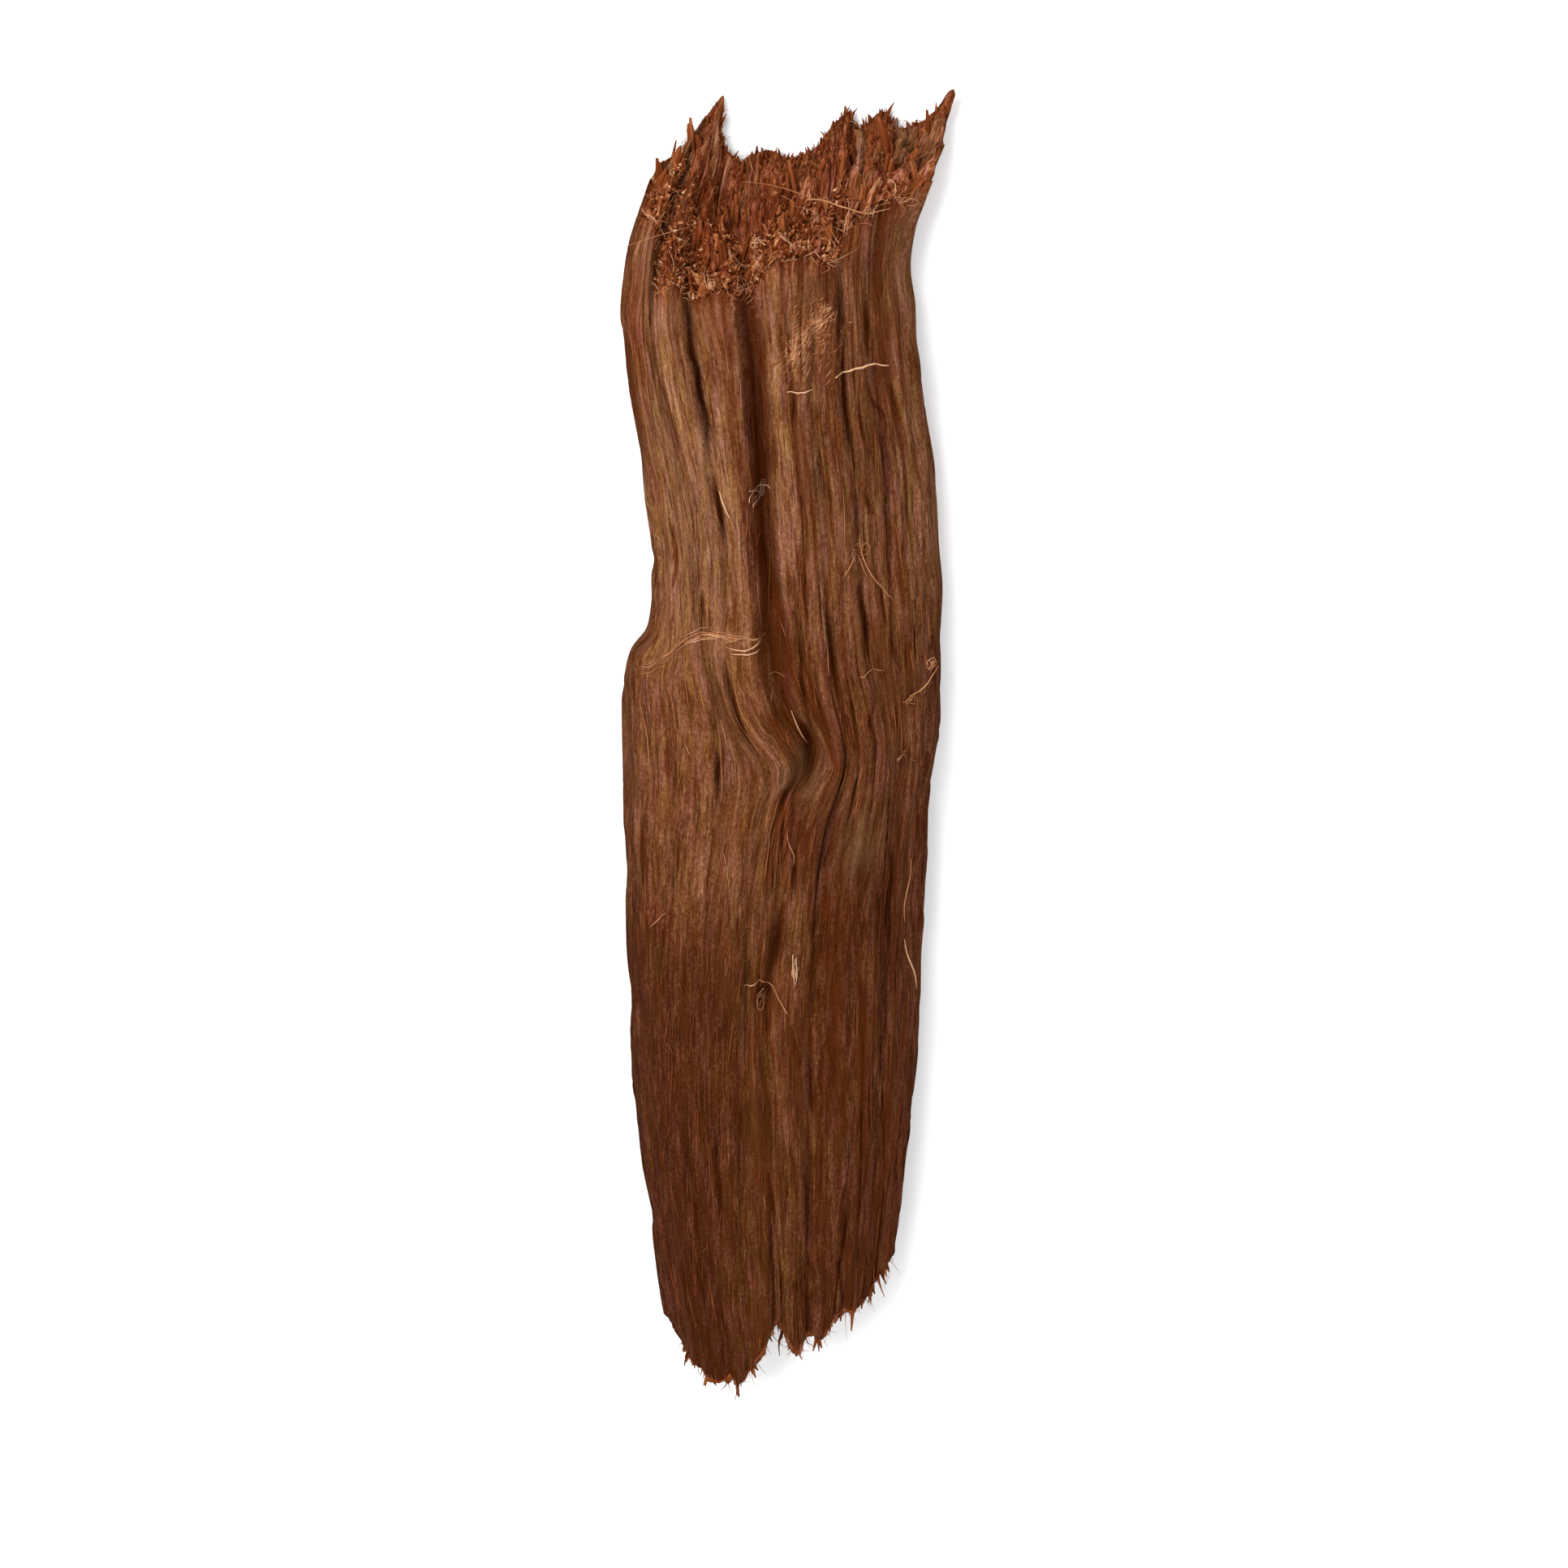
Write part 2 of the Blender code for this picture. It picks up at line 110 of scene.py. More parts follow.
def lattice_noise(a: Array, b: Array, seed: int, size: int = 64) -> Array:
    """Smooth noise: random values on a square lattice, eased between its points by 3t^2 - 2t^3.

    Args:
        a: the first coordinate, one lattice step to a unit.
        b: the second coordinate.
        seed: which lattice of random values is read.
        size: lattice points each way before it repeats.

    Returns:
        A value from -1 to 1 at each point.
    """
    values = np.random.default_rng(NOISE_SEED + seed).uniform(-1, 1, (size, size))
    low_a, low_b = np.floor(a).astype(int), np.floor(b).astype(int)
    ta, tb = a - low_a, b - low_b
    ta, tb = ta * ta * (3 - 2 * ta), tb * tb * (3 - 2 * tb)
    a0, a1, b0, b1 = low_a % size, (low_a + 1) % size, low_b % size, (low_b + 1) % size
    return (values[a0, b0] * (1 - ta) + values[a1, b0] * ta) * (1 - tb) + (
        values[a0, b1] * (1 - ta) + values[a1, b1] * ta
    ) * tb


def spot(at: Array, middle: float = 0.0, half: float = 1.0) -> Array:
    """A soft spot: exp(-((at - middle) / half)^2), which is 1 in its middle."""
    return np.exp(-(((at - middle) / half) ** 2))


def smooth_step(low: float, high: float, at: Array) -> Array:
    """An eased step, 3t^2 - 2t^3, from 0 at low to 1 at high."""
    t = np.clip((at - low) / (high - low), 0, 1)
    return t * t * (3 - 2 * t)


@dataclass(frozen=True)
class Ripple:
    """Lattice noise with its own counts, to a unit of each coordinate, and its own amount."""

    seed: int
    count_a: float
    count_b: float
    slant: float = 0.0
    size: int = 64
    amount: float = 1.0

    def at(self, a: Array, b: Array, shift: Array | float = 0.0) -> Array:
        """amount * noise(a * count_a + shift, b * count_b + a * slant)."""
        second = b * self.count_b + a * self.slant
        return self.amount * lattice_noise(a * self.count_a + shift, second, self.seed, self.size)


@dataclass(frozen=True)
class Crack:
    """A furrow or crack along one grain line, with its depths along the way."""

    line: int
    half_width: float
    depths: Curve
    sharpness: float = 2.6

    def near(self, distance: Array) -> Array:
        """exp(-|distance / half width|^sharpness), which is 1 in the crack's middle."""
        return np.exp(-np.abs(distance / self.half_width) ** self.sharpness)


@dataclass(frozen=True)
class Dimple:
    """A small hollow or swelling: rise times a soft spot each way."""

    along: float
    across: float
    half_length: float
    half_width: float
    rise: float

    def height(self, across: Array, along: Array) -> Array:
        """The rise at each place."""
        near = spot(across, self.across, self.half_width)
        return self.rise * near * spot(along, self.along, self.half_length)


@dataclass(frozen=True)
class Slit:
    """A short crack with its own path of (along, across), narrowing away at both ends. Its depth
    falls off as exp(-(distance / half width)^2), and its right edge is lifted by the lip. With a
    depth below 0 it is a low ridge. Its shade darkens the colour along it as painted shade."""

    path: Curve
    half_width: float
    depth: float
    lip: float = 0.16
    shade: float = 1.3
    tip_width: float = 0.3
    lip_middle: float = 2.2
    lip_half: float = 1.1

    def cut(self, across: Array, along: Array) -> tuple[Array, Array]:
        """How the slit shapes the surface.

        Args:
            across: in millimetres.
            along: in millimetres.

        Returns:
            The height to add, and how dark each place is, from 0 to 1.
        """
        low, high = self.path[0][0], self.path[-1][0]
        narrow = np.sin(np.pi * np.clip((along - low) / (high - low), 0, 1)) ** 0.5
        width = self.half_width * (self.tip_width + (1 - self.tip_width) * narrow)
        side = (across - through(self.path, along)) / width
        near = narrow * spot(side)
        lip = self.lip * narrow * spot(side, self.lip_middle, self.lip_half)
        return lip - self.depth * near, self.shade * near

@dataclass(frozen=True)
class GrainLines:
    """The lines that the grain follows, as (along, across), from the left edge to the right."""

    left_edge: Curve = (
        (0, -12.4), (8, -13.4), (18, -14.8), (30, -16), (42, -16.9), (55, -17.2), (70, -17.1),
        (80, -17.1), (86, -17), (88.2, -16.4), (90.6, -14.6), (93, -14), (97, -13.8),
        (102, -14), (108, -14.4), (115.5, -15.7), (121, -16.4), (126, -16.7), (130, -16.2),
        (134, -15.5), (138, -14.4), (141.4, -12.7), (144.5, -10.6), (147.5, -8.5), (150, -6.9),
    )
    left_lobe: Curve = (
        (0, -7.6), (20, -9), (35, -9.4), (49, -9.2), (60, -8.6), (68, -7.8), (74, -7),
        (81, -6.9), (86, -7.8), (91.6, -9), (97, -9.3), (103, -9.6), (108.4, -10.2),
        (115.6, -11.7), (121.4, -12.8), (127, -13.4), (134, -12.9), (138, -11.9), (142, -10),
        (147.5, -7.2), (150, -6),
    )
    left_crack: Curve = (
        (0, -3.8), (20, -4.4), (35, -4.6), (49, -4.3), (59.7, -3.8), (66, -3.2), (72.5, -2.3),
        (76, -1.3), (78.5, -1.5), (80.4, -2.8), (83.6, -4.7), (88.5, -5.8), (91.6, -6),
        (97, -5.8), (103.3, -6), (108.4, -6.7), (115.6, -7.9), (121.4, -8.8), (127, -9.6),
        (133, -9.9), (138, -8.9), (142, -7.6), (147.5, -6), (150, -5.2),
    )
    main_furrow: Curve = (
        (0, -0.6), (20, -0.8), (35, -1.2), (48, -1.6), (52.5, -1.5), (56.7, -1), (63.9, -0.4),
        (69.3, -0.1), (72, 0.4), (74.6, 1.3), (76.7, 2.7), (79.1, 3.4), (81.3, 2.4), (84.2, 0.7),
        (87.9, -0.6), (93.8, -1), (100, -1.4), (106.5, -1.9), (113, -2.3), (119.3, -2.6),
        (123.5, -2.8), (128.3, -3.4), (136, -3.7), (143, -3), (150, -2),
    )
    middle_crack: Curve = (
        (0, 2.8), (20, 3), (35, 3.2), (49, 3.2), (55.4, 3.5), (61.8, 4), (68.2, 4.7),
        (71.8, 5.5), (75.2, 6.5), (78.6, 7.2), (82, 6.9), (86.4, 6), (91.7, 5.3), (97, 4.8),
        (101.8, 4.6), (106.3, 4.3), (110.8, 3.8), (117.2, 3.3), (129, 3.4), (138, 3.8), (150, 5),
    )
    right_crack: Curve = (
        (0, 6.4), (20, 7.2), (35, 7.8), (49, 8), (59.7, 8.4), (68.2, 9.2), (74.6, 10.2),
        (80, 10.6), (85.2, 10.2), (90, 9.1), (96, 8.6), (104.4, 8.2), (111, 7.6), (117.3, 6.8),
        (127.4, 6.3), (134, 6.2), (138.4, 6.8), (150, 8.5),
    )
    outer_crack: Curve = (
        (0, 8.8), (20, 10.2), (35, 11), (49, 11.3), (59.7, 11.6), (66, 12), (72.4, 12.7),
        (79, 13.2), (85.2, 13), (91.6, 12.4), (99, 11.7), (107.6, 11.2), (113, 10.8),
        (117.3, 10.3), (122.6, 9.8), (127.8, 9.3), (134, 9.4), (138.4, 10.2), (150, 14),
    )
    right_edge: Curve = (
        (0, 11.2), (8, 12.2), (18, 13.4), (30, 14.4), (42, 15), (55, 15.3), (62, 15.4),
        (72, 16), (77, 16.7), (82, 17.1), (90, 17.2), (97, 17), (103, 16.6), (109, 16.1),
        (115.5, 15), (120, 14.5), (126, 13.7), (130.5, 13.2), (134, 13.7), (138, 14.8),
        (144, 16.7), (150, 18.6),
    )
    shares: tuple[float, ...] = (0, 0.18, 0.32, 0.46, 0.64, 0.76, 0.87, 1)

    def all(self) -> tuple[Curve, ...]:
        """Every line, from left to right.

        Returns:
            The lines, one more than there are strands.
        """
        return (
            self.left_edge, self.left_lobe, self.left_crack, self.main_furrow,
            self.middle_crack, self.right_crack, self.outer_crack, self.right_edge,
        )

    def strand_of(self, share: Array) -> tuple[Array, Array]:
        """Finds the strand between two lines that a share lies in.

        Args:
            share: across, from 0 at the left edge to 1 at the right.

        Returns:
            The strand's number from the left, and how far through it the share is, 0 to 1.
        """
        shares = np.array(self.shares)
        strand = np.clip(np.searchsorted(shares, share, side="right") - 1, 0, len(shares) - 2)
        return strand, (share - shares[strand]) / (shares[strand + 1] - shares[strand])

    def across_of(self, share: Array, along: Array) -> Array:
        """The place across, read straight between the two grain lines beside the share.

        Args:
            share: across, 0 to 1.
            along: in millimetres.

        Returns:
            The place across, in millimetres.
        """
        lines = np.array([through(line, along) for line in self.all()])
        strand, t = self.strand_of(share)
        here = np.arange(len(share))
        return lines[strand, here] * (1 - t) + lines[strand + 1, here] * t

    def share_of(self, across: Array, along: Array) -> Array:
        """The share at a place across: the reverse of across_of.

        Args:
            across: in millimetres.
            along: in millimetres.

        Returns:
            The share, 0 to 1.
        """
        lines = np.array([through(line, along) for line in self.all()])
        shares = np.array(self.shares)
        strand = np.clip((across >= lines).sum(axis=0) - 1, 0, len(shares) - 2)
        here = np.arange(len(across))
        low, high = lines[strand, here], lines[strand + 1, here]
        t = np.clip((across - low) / (high - low), 0, 1)
        return shares[strand] * (1 - t) + shares[strand + 1] * t


@dataclass(frozen=True)
class SlabForm:
    """The slab's forms as a block with three parameters, each from 0 to 1: share across, deep
    from the outer face to the inner, and rise from the foot to the torn top."""

    grain: GrainLines = GrainLines()
    length: float = 147.0
    tear_reach: float = 42.0
    tear_ease: float = 1.3
    foot_reach: float = 32.0
    foot_slope: float = 1.6
    foot_bundles: Ripple = Ripple(7, 17, 3, amount=0.9)
    edge_bulge: float = 0.8
    edge_inset: float = 0.6
    bulge_height: Span = (2.8, 2.2)
    edge_layers: Ripple = Ripple(8, 0.9, 1 / 15, amount=0.40)
    edge_nibbles: Ripple = Ripple(9, 1 / 5.3, 7, amount=0.20)
    edge_apart: float = 9.0
    crown_power: float = 2.4
    crown_round: float = 0.62
    tilt_to_right: float = 0.7
    hollow: float = 1.7
    keel_side: float = 0.68
    arch: float = 1.3
    arch_span: float = 104.0
    arch_middle: float = 72.0
    rest_cut: float = 0.42
    inner_grain: Ripple = Ripple(3, 15, 1 / 30, amount=0.30)
    tear_power: Curve = (
        (0.0, 0.8), (0.15, 0.8), (0.27, 0.9), (0.36, 1.4), (0.62, 1.5), (0.72, 1.1), (1.0, 0.9),
    )
    tear_bundles: Ripple = Ripple(6, 26, 4, amount=1.5)
    ledge: float = 0.035
    ledge_count: float = 4.0
    ledge_shift: Ripple = Ripple(12, 9, 1, amount=0.3)
    rim_drop: float = 2.0
    rim_reach: float = 2.4
    skin_thick: float = 0.75
    skin_fade: float = 24.0
    skin_lap: float = 0.9
    skin_ripple: Ripple = Ripple(11, 0.9, 0.0, amount=0.8)
    middle: Span = (0.2359, 74.2206)
    crest: Curve = (
        (0, 9), (12, 10.8), (32, 12.2), (56, 13), (80, 13.4), (100, 12.4), (120, 12.8),
        (150, 12.6),
    )
    shoulder: Curve = ((0, 4.4), (30, 5.4), (60, 5.8), (90, 5), (125, 5.2), (150, 4))
    swell: tuple[float, ...] = (0.6, 0.6, 0.8, 1.2, 0.8, 0.7, 0.6)
    swell_round: float = 0.8
    bend: Span = (79.0, 13.0)
    bend_flattens: float = 0.5
    coarse_waves: Ripple = Ripple(1, 13, 1 / 26, slant=8, amount=0.45)
    sharp_waves: Ripple = Ripple(2, 24, 1 / 17, slant=15)
    sharp_height: float = 0.30
    furrow: int = 3
    crack_wander: Ripple = Ripple(5, 0.35, 1, amount=0.25)
    crack_rhythm: Ripple = Ripple(13, 1 / 6.5, 3.7)
    crack_change: float = 0.4
    cracks: tuple[Crack, ...] = (
        Crack(1, 0.42, (
            (0, 0), (68, 0), (73, 1.1), (81, 1.1), (86, 0), (108, 0), (116, 0.9),
            (128, 1.1), (135, 0.4), (150, 0.3),
        )),
        Crack(2, 0.42, (
            (0, 0.4), (30, 0.2), (62, 0.1), (74, 0.2), (79, 0.6), (87, 0.6), (91, 0.2),
            (98, 0.5), (104, 1.4), (118, 1.9), (128, 1.9), (134, 1), (150, 0.6),
        )),
        Crack(3, 1.15, (
            (0, 0.2), (60, 0.2), (70, 0.5), (76, 2), (80, 3.2), (88, 3.5), (104, 3.7),
            (124, 3.5), (128.5, 2.2), (131, 0.6), (150, 0.4),
        )),
        Crack(3, 2.80, (
            (0, 0.5), (30, 0.9), (44, 1.2), (50, 2), (56, 1.6), (63, 1.5), (70, 1.6),
            (76, 0.9), (80, 0.3), (84, 0), (150, 0),
        )),
        Crack(4, 0.45, (
            (0, 0.2), (60, 0.2), (70, 0.4), (78, 0.9), (86, 1), (96, 0.8), (108, 1),
            (116, 0.4), (150, 0.2),
        )),
        Crack(5, 0.50, (
            (0, 0.4), (60, 0.3), (70, 0.4), (80, 0.8), (90, 0.8), (98, 0.7), (112, 1.3),
            (128, 1.5), (136, 0.7), (150, 0.4),
        )),
        Crack(6, 0.65, (
            (0, 0.3), (48, 1), (66, 1), (74, 0.5), (88, 0.7), (100, 0.6), (112, 1.5),
            (126, 1.7), (136, 1), (150, 0.8),
        )),
    )
    dimples: tuple[Dimple, ...] = (
        Dimple(80.6, 3.3, 4.2, 1.3, -2), Dimple(79.2, 1, 2.6, 1.6, 1.3),
        Dimple(79.5, 6, 6, 1.2, 1), Dimple(55.6, 0.2, 3.6, 1.4, -1.9),
        Dimple(50.4, -2.2, 1.5, 1.3, -1.6), Dimple(73.6, 1.6, 3.4, 0.8, -1),
        Dimple(124.6, 2.4, 3.6, 3, -0.6), Dimple(131.2, 2, 3.2, 3.6, 0.8),
        Dimple(66, -9, 16, 6, 0.8), Dimple(30, 6, 5, 2.2, 0.9),
        Dimple(84.4, 13.9, 1.4, 0.8, -1.1), Dimple(78, 13.5, 1.2, 0.7, -1),
    )
    skin_edge: Curve = (
        (-17.5, 87.6), (-15.9, 88), (-14.2, 88.5), (-12.3, 90), (-10, 92.5), (-8.1, 93.4),
        (-2.1, 92.8),
    )
    torn_outer: Curve = (
        (0.00, 136), (0.06, 137.5), (0.13, 136), (0.19, 129.8), (0.26, 130.8), (0.33, 129.2),
        (0.41, 130.4), (0.46, 128.8), (0.49, 131.2), (0.53, 133.2), (0.60, 133.8), (0.68, 133.4),
        (0.735, 133.6), (0.78, 136.2), (0.84, 137.6), (0.90, 138.8), (0.96, 138.2), (1.00, 140),
    )
    torn_inner: Curve = (
        (0.00, 140.6), (0.04, 142), (0.07, 141.4), (0.10, 143.6), (0.15, 145.8), (0.20, 147.4),
        (0.26, 148.4), (0.30, 147.6), (0.34, 144.6), (0.38, 142.6), (0.43, 141.6), (0.50, 142.8),
        (0.57, 141.8), (0.63, 143.4), (0.68, 145.8), (0.72, 146.8), (0.76, 144.8), (0.82, 147),
        (0.87, 145.2), (0.92, 145.6), (0.96, 147), (0.985, 149.4), (1.00, 148.6),
    )
    foot_rise: Curve = (
        (0.00, 6.5), (0.08, 3), (0.18, 0.6), (0.29, 1.6), (0.38, 4.6), (0.46, 8.6), (0.55, 6),
        (0.66, 7.4), (0.78, 10.6), (0.90, 12.2), (1.00, 15.5),
    )

    def skin_step(self, across: Array, along: Array) -> Array:
        """The overlapping skin on the left lobe: full thickness below its torn upper edge, and
        thinning evenly away below that.

        Args:
            across: in millimetres.
            along: in millimetres.

        Returns:
            The thickness to add.
        """
        edge = through(self.skin_edge, across) + self.skin_ripple.at(across, along)
        below = np.clip((edge - along) / self.skin_lap, 0, 1)
        fade = np.clip((along - edge + self.skin_fade) / self.skin_fade, 0, 1)
        inside = np.clip((self.skin_edge[-1][0] + 1.0 - across) / 2.0, 0, 1)
        return self.skin_thick * below * fade * inside

    def crown(self, share: Array) -> Array:
        """The rounding across: (1 - |side|^power)^0.62, which is 1 in the middle."""
        return (1 - np.abs(2 * share - 1) ** self.crown_power) ** self.crown_round

    def crack_depth(self, across: Array, along: Array) -> Array:
        """How deep the furrows and cracks are, added up. All but the main furrow grow deeper and
        shallower along their way.

        Args:
            across: in millimetres.
            along: in millimetres.

        Returns:
            The depth.
        """
        depth = np.zeros_like(across)
        lines = self.grain.all()
        for crack in self.cracks:
            middle = through(lines[crack.line], along) + self.crack_wander.at(along, crack.line)
            near = crack.near(across - middle)
            if crack.line != self.furrow:
                rhythm = self.crack_rhythm.at(along, crack.line)
                near *= 1 - self.crack_change + self.crack_change * rhythm
            depth += np.clip(through(crack.depths, along), 0, None) * near
        return depth

    def outer_height(self, share: Array, across: Array, along: Array) -> Array:
        """The outer face: shoulder plus crown, a rounded back on each strand, less the cracks,
        with dimples, the skin's step and long low waves.

        Args:
            share: across, 0 to 1.
            across: the same in millimetres.
            along: in millimetres.

        Returns:
            The height.
        """
        side, crown = 2 * share - 1, self.crown(share)
        shoulder = through(self.shoulder, along)
        height = shoulder + (through(self.crest, along) - shoulder) * crown
        height -= self.tilt_to_right * side * crown
        strand, t = self.grain.strand_of(share)
        flatter = 1 - self.bend_flattens * spot(along, *self.bend)
        rounded = np.sin(np.pi * np.clip(t, 0, 1)) ** self.swell_round
        height += flatter * np.array(self.swell)[strand] * rounded * crown
        height -= self.crack_depth(across, along)
        for dimple in self.dimples:
            height += dimple.height(across, along)
        height += self.skin_step(across, along)
        to_rim = np.clip(through(self.torn_outer, share) - along, 0, None)
        height -= self.rim_drop * np.exp(-to_rim / self.rim_reach) * crown
        sharp = self.sharp_height * (1 - 2 * np.abs(self.sharp_waves.at(share, along)))
        return height + crown * (self.coarse_waves.at(share, along) + sharp)

    def inner_height(self, share: Array, along: Array) -> Array:
        """The inner face: hollow across, rounded up to both edges, arched along, and cut flat
        at height 0 where it rests.

        Args:
            share: across, 0 to 1.
            along: in millimetres.

        Returns:
            The height.
        """
        side, keel = 2 * share - 1, self.keel_side
        across = ((side**2 - keel**2) / (1 - keel**2)) ** 2
        turn = 2 * np.pi * (along - self.arch_middle) / self.arch_span
        arch = self.arch * (1 + np.cos(turn)) / 2
        grain = self.inner_grain.at(share, along)
        return np.clip(self.hollow * across + arch + grain - self.rest_cut, 0, None)

    def torn_top(self, share: Array, deep: Array) -> Array:
        """Where the slab ends at the top: from the outer face's end to the inner face's further
        one, by deep to a power, in ledges, with bundles of fibre.

        Args:
            share: across, 0 to 1.
            deep: from the outer face to the inner, 0 to 1.

        Returns:
            The place along.
        """
        outer, inner = through(self.torn_outer, share), through(self.torn_inner, share)
        bundles = self.tear_bundles.at(share, deep) * np.sin(np.pi * deep) ** 0.5
        turns = self.ledge_count * deep + self.ledge_shift.at(share, deep)
        ledges = np.clip(deep - self.ledge * np.sin(2 * np.pi * turns), 0, 1)
        return outer + (inner - outer) * ledges ** through(self.tear_power, share) + bundles

    def broken_foot(self, share: Array, deep: Array) -> Array:
        """Where the slab ends at the foot: an uneven break."""
        uneven = through(self.foot_rise, share) + self.foot_slope * deep
        return uneven + self.foot_bundles.at(share, deep)

    def edge_shift(self, side: Array, along: Array, height: Array) -> Array:
        """How far the long edges stand out: side^4 times a bulge, thin layers and nibbles.

        Args:
            side: from -1 at the left edge to 1 at the right.
            along: in millimetres.
            height: in millimetres.

        Returns:
            The shift across, in millimetres.
        """
        bulge = self.edge_bulge * spot(height, *self.bulge_height)
        layers = self.edge_layers.at(height, along, self.edge_apart * np.sign(side))
        nibbles = self.edge_nibbles.at(along, np.sign(side))
        return side * np.abs(side) ** 3 * (bulge + layers + nibbles - self.edge_inset)

    def along_of(self, share: Array, deep: Array, rise: Array) -> Array:
        """The place along: even from foot to top, blended into the two broken ends.

        Args:
            share: across, from the left edge to the right.
            deep: from the outer face to the inner.
            rise: from the foot to the torn top.

        Returns:
            The place along, in millimetres.
        """
        along = self.length * rise
        to_top = np.clip((along - self.length + self.tear_reach) / self.tear_reach, 0, 1)
        to_foot = np.clip((self.foot_reach - along) / self.foot_reach, 0, 1)
        top = (self.torn_top(share, deep) - self.length) * to_top**self.tear_ease
        return along + top + self.broken_foot(share, deep) * to_foot

    def places(self, share: Array, deep: Array, rise: Array) -> Array:
        """The plain points of the block, as the solid has them.

        Args:
            share: across, from the left edge to the right.
            deep: from the outer face to the inner.
            rise: from the foot to the torn top.

        Returns:
            One row of across, along and height for each point.
        """
        along = self.along_of(share, deep, rise)
        across = self.grain.across_of(share, along)
        outer, inner = self.outer_height(share, across, along), self.inner_height(share, along)
        height = outer + (inner - outer) * deep
        across = across + self.edge_shift(2 * share - 1, along, height)
        return np.column_stack([across, along, height])


@dataclass(frozen=True)
class Strands:
    """Strands of fibre that follow the grain, because they are read at the share across rather
    than at the place. The lattice is staggered, so that no two strands end side by side."""

    seed: int
    count: float
    length: float
    depth: float
    drift: float = 1.0
    size: int = 64
    stagger: float = 0.618
    roundness: float = 0.6
    level: float = 0.75

    def noise(self, share: Array, along: Array, drift: Array) -> Array:
        """The strands' noise, which is 0 in the grooves between them.

        Args:
            share: across, 0 to 1.
            along: in millimetres.
            drift: how far the fibres wander sideways, in strands.

        Returns:
            A value from -1 to 1.
        """
        shifted = share * self.count + self.drift * drift
        place = along / self.length + self.stagger * shifted
        return lattice_noise(shifted, place, self.seed, self.size)

    def rounded(self, share: Array, along: Array, drift: Array) -> Array:
        """Rounded backs with sharp grooves: |noise|^0.6."""
        return np.abs(self.noise(share, along, drift)) ** self.roundness

    def height(self, rounded: Array) -> Array:
        """The height of the rounded backs, a hair above 0 at most."""
        return self.depth * (rounded - self.level)


